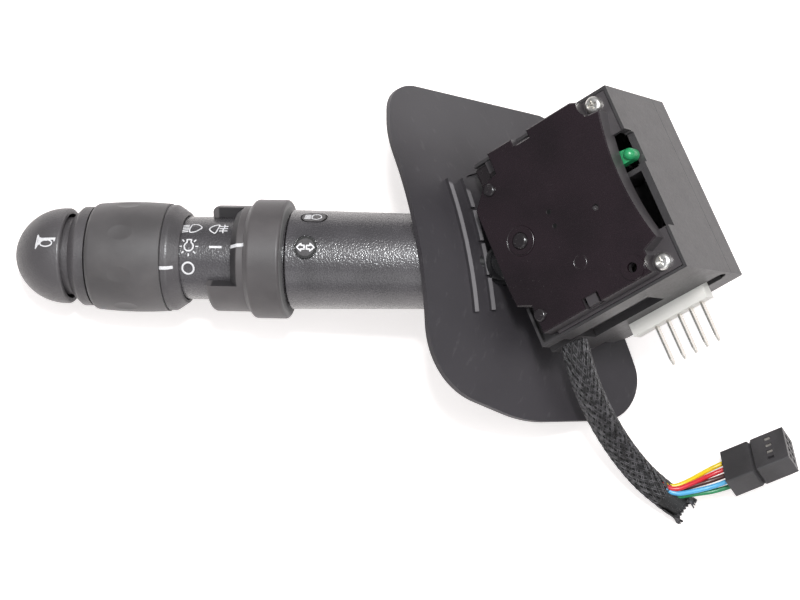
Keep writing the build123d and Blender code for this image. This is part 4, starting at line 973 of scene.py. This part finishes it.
fog_off = [straight((-1.9, 0), (1.9, 0))]
print_sign("sign_fog_off", "symbol_sleeve", 64.5, 101.8, fog_off, 0.75)
light_mark = [straight((-2.35, 0), (2.35, 0))]
print_sign("mark_light", "index_ring", 49.9, 75.0, light_mark, 1.1, "light_knob")
fog_mark = [straight((-0.6, -0.1), (4.1, 0.2))]
print_sign("mark_fog", "fog_ring", 69.7, 100.4, fog_mark, 1.05, "fog_switch")

horn_sign = [
    straight((-2.75, 2.3), (-3.25, -2.3)),
    straight((-2.75, 2.3), (-2.25, 1.25), (-1.2, 0.85), (3.0, 0.85)),
    straight((-2.85, 1.5), (-2.2, 0.85), (-1.2, 0.55), (2.9, 0.55)),
    straight((-2.9, 0.8), (-2.1, 0.45), (0.6, 0.25)),
    straight((-3.0, 0.2), (-2.0, 0.1), (-1.2, 0.1)),
    straight((-3.05, -0.5), (-2.3, -0.3), (-1.5, -0.1)),
    straight((-3.1, -1.2), (-2.6, -0.8), (-1.7, -0.4)),
    straight((-3.25, -2.3), (-2.6, -1.2), (-1.8, -0.5)),
    straight((2.95, 1.05), (2.7, -0.1)),
    arc(0.15, -0.62, 1.9, 0, 360, 0.53, 28),
]
print_sign("sign_horn", "horn_cap", 12.9, 104.0, horn_sign, 0.42, "horn_button")

print_sign("sign_arrows", "arrows_badge", *ARROWS_AT, [arrow(-1), arrow(1)], 0.52)

main_lamp = ((-0.35, 1.0), (0.5, 1.3), (1.4, 1.2), (2.15, 0.5), (2.2, -0.5), (1.4, -1.2),
             (0.5, -1.3), (-0.35, -1.0), (-0.55, 0.0))
main_beam = [egg(main_lamp)]
main_beam += [straight((-0.9, v), (-2.7, v)) for v in (-1.0, -0.5, 0.0, 0.5, 1.0)]
print_sign("sign_main_beam", "beam_badge", *BEAM_AT, main_beam, 0.40)

# ------------------------------------------------------------------------------------------
# Shroud plate: a bent sheet of matt grey-black plastic with a very fine grain, clipped on the
# lever's root. Its raised end is painted paler, as painted light where it faces the lamps, and
# the tops of its ribs much paler, as painted highlights. Thin webs close its slot's two ends.

PLATE_NORMAL = (CASE_X * 0.891 - CASE_Y * 0.234 + OUT * 0.388).normalized()
PLATE_SLOPE = CASE_X * 0.261 - CASE_Y * 0.436 - OUT * 0.862
PLATE_SLOPE = (PLATE_SLOPE - PLATE_NORMAL * PLATE_SLOPE.dot(PLATE_NORMAL)).normalized()
PLATE_ACROSS = PLATE_NORMAL.cross(PLATE_SLOPE)
PLATE_MIDDLE = PIN + TIPWARD * 18.6 * MM + PLATE_NORMAL * 2.0 * MM
PLATE_BEND = 90.0                  # radius that the sheet is bent to
# Where the painted light on the plate's raised end begins and where it is full.
LIT_PALE_FROM = 6.0                    # across the plate, from its middle
LIT_PALE_TO = 44.0
RIB_TURN = math.radians(112.5)     # from the plate's slope round to the ribs' length
RIB_MIDDLE = PLATE_MIDDLE - PLATE_SLOPE * 8.3 * MM + PLATE_ACROSS * 2.6 * MM
RIB_ASIDE = PLATE_ACROSS * math.cos(RIB_TURN) - PLATE_SLOPE * math.sin(RIB_TURN)
RIBS_SIDE = -3.0                   # aside, to the middle between the two ribs
RIBS_HALF = 4.05                   # half their width together
RIBS_REACH = 20.0                  # across the plate, each way
# The webs' outlines are down the plate's slope and across it; their tops are out of its face.
LOW_WEB = ((6.6, 4.0), (22.0, 4.0), (27.0, -4.0), (27.0, -10.5), (24.0, -15.3), (14.5, -12.5))
LOW_WEB_TOP = -0.04
LOW_WEB_THICK = 1.7
HIGH_WEB = ((0.0, 32.3), (1.0, 28.0), (2.0, 22.0), (1.5, 8.6), (-3.5, 9.0), (-6.6, 15.3),
            (-9.6, 25.2), (-9.0, 26.4))
HIGH_WEB_TOP = -0.7
HIGH_WEB_THICK = 1.05


def on_plate(down, across, level):
    """A point of the plate: down its slope, across it, and out of its bent face."""
    lift = level + math.sqrt(PLATE_BEND ** 2 - across ** 2) - PLATE_BEND
    return PLATE_MIDDLE + (PLATE_SLOPE * down + PLATE_ACROSS * across + PLATE_NORMAL * lift) * MM


plate = Finish("plate_matt")
plate_cloud = plate.noise(28.0, 3.0)
plate_fine = plate.noise(3600.0, 3.0)
plate_rub = plate.noise(220.0, 3.0, (1, 1, 4)).over(0.6, 0.75)
plate_shade = plate_cloud.over(0.3, 0.7)
# Painted light: the plate is painted paler across toward its raised end, where that end of the
# sheet faces the lamps.
plate_dark = plate.blend(plate_shade, (0.030, 0.027, 0.032), (0.041, 0.037, 0.043))
plate_lit_pale = plate.blend(plate_shade, (0.066, 0.062, 0.067), (0.086, 0.082, 0.088))
across = plate.reach(PLATE_ACROSS, PLATE_MIDDLE)
plate_body = plate.blend(across.over(LIT_PALE_FROM * MM, LIT_PALE_TO * MM), plate_dark, plate_lit_pale)
plate_body = plate.blend(plate_rub * 0.05, plate_body, (0.35, 0.34, 0.34))
aside = plate.reach(RIB_ASIDE, RIB_MIDDLE)
height = plate.reach(PLATE_NORMAL, PLATE_MIDDLE) + across * across * (0.5 / (PLATE_BEND * MM))
# Painted highlight: the tops of the ribs are painted much paler, where the light catches them.
rib_top_highlight = height.over(1.0 * MM, 1.2 * MM)
off_ribs = (aside - RIBS_SIDE * MM).size().over((RIBS_HALF - 0.15) * MM, (RIBS_HALF + 0.15) * MM)
past_ribs = across.size().over((RIBS_REACH - 0.5) * MM, (RIBS_REACH + 0.5) * MM)
rib_near = (1.0 - off_ribs) * (1.0 - past_ribs)
plate_body = plate.blend(rib_top_highlight * rib_near, plate_body, (0.205, 0.198, 0.208))
plate_matt = plate.close(
    Base_Color=plate_body,
    Roughness=plate_fine * 0.12 + plate_cloud * 0.08 + 0.40,
    Normal=plate.bump(plate_fine, 0.035 * MM),
)
paint_node("shroud_plate", plate_matt)


def slot_web(name, outline, top, thick):
    """A thin web on the plate's bent sheet, from its outline in millimetres."""
    shape = bmesh.new()
    shape.faces.new([shape.verts.new((down, side, 0)) for down, side in outline])
    for level in range(-20, 36, 2):
        whole = shape.verts[:] + shape.edges[:] + shape.faces[:]
        bmesh.ops.bisect_plane(shape, geom=whole, plane_co=(0, level, 0), plane_no=(0, 1, 0))
    for vertex in shape.verts:
        vertex.co.z = top
    for part in bmesh.ops.extrude_face_region(shape, geom=shape.faces[:])["geom"]:
        if isinstance(part, bmesh.types.BMVert):
            part.co.z = top - thick
    for vertex in shape.verts:
        vertex.co = on_plate(*vertex.co)
    bmesh.ops.recalc_face_normals(shape, faces=shape.faces[:])
    mesh = bpy.data.meshes.new(name)
    shape.to_mesh(mesh)
    shape.free()
    add_piece(name, mesh, plate_matt, "lever")


slot_web("slot_web_low", LOW_WEB, LOW_WEB_TOP, LOW_WEB_THICK)
slot_web("slot_web_high", HIGH_WEB, HIGH_WEB_TOP, HIGH_WEB_THICK)
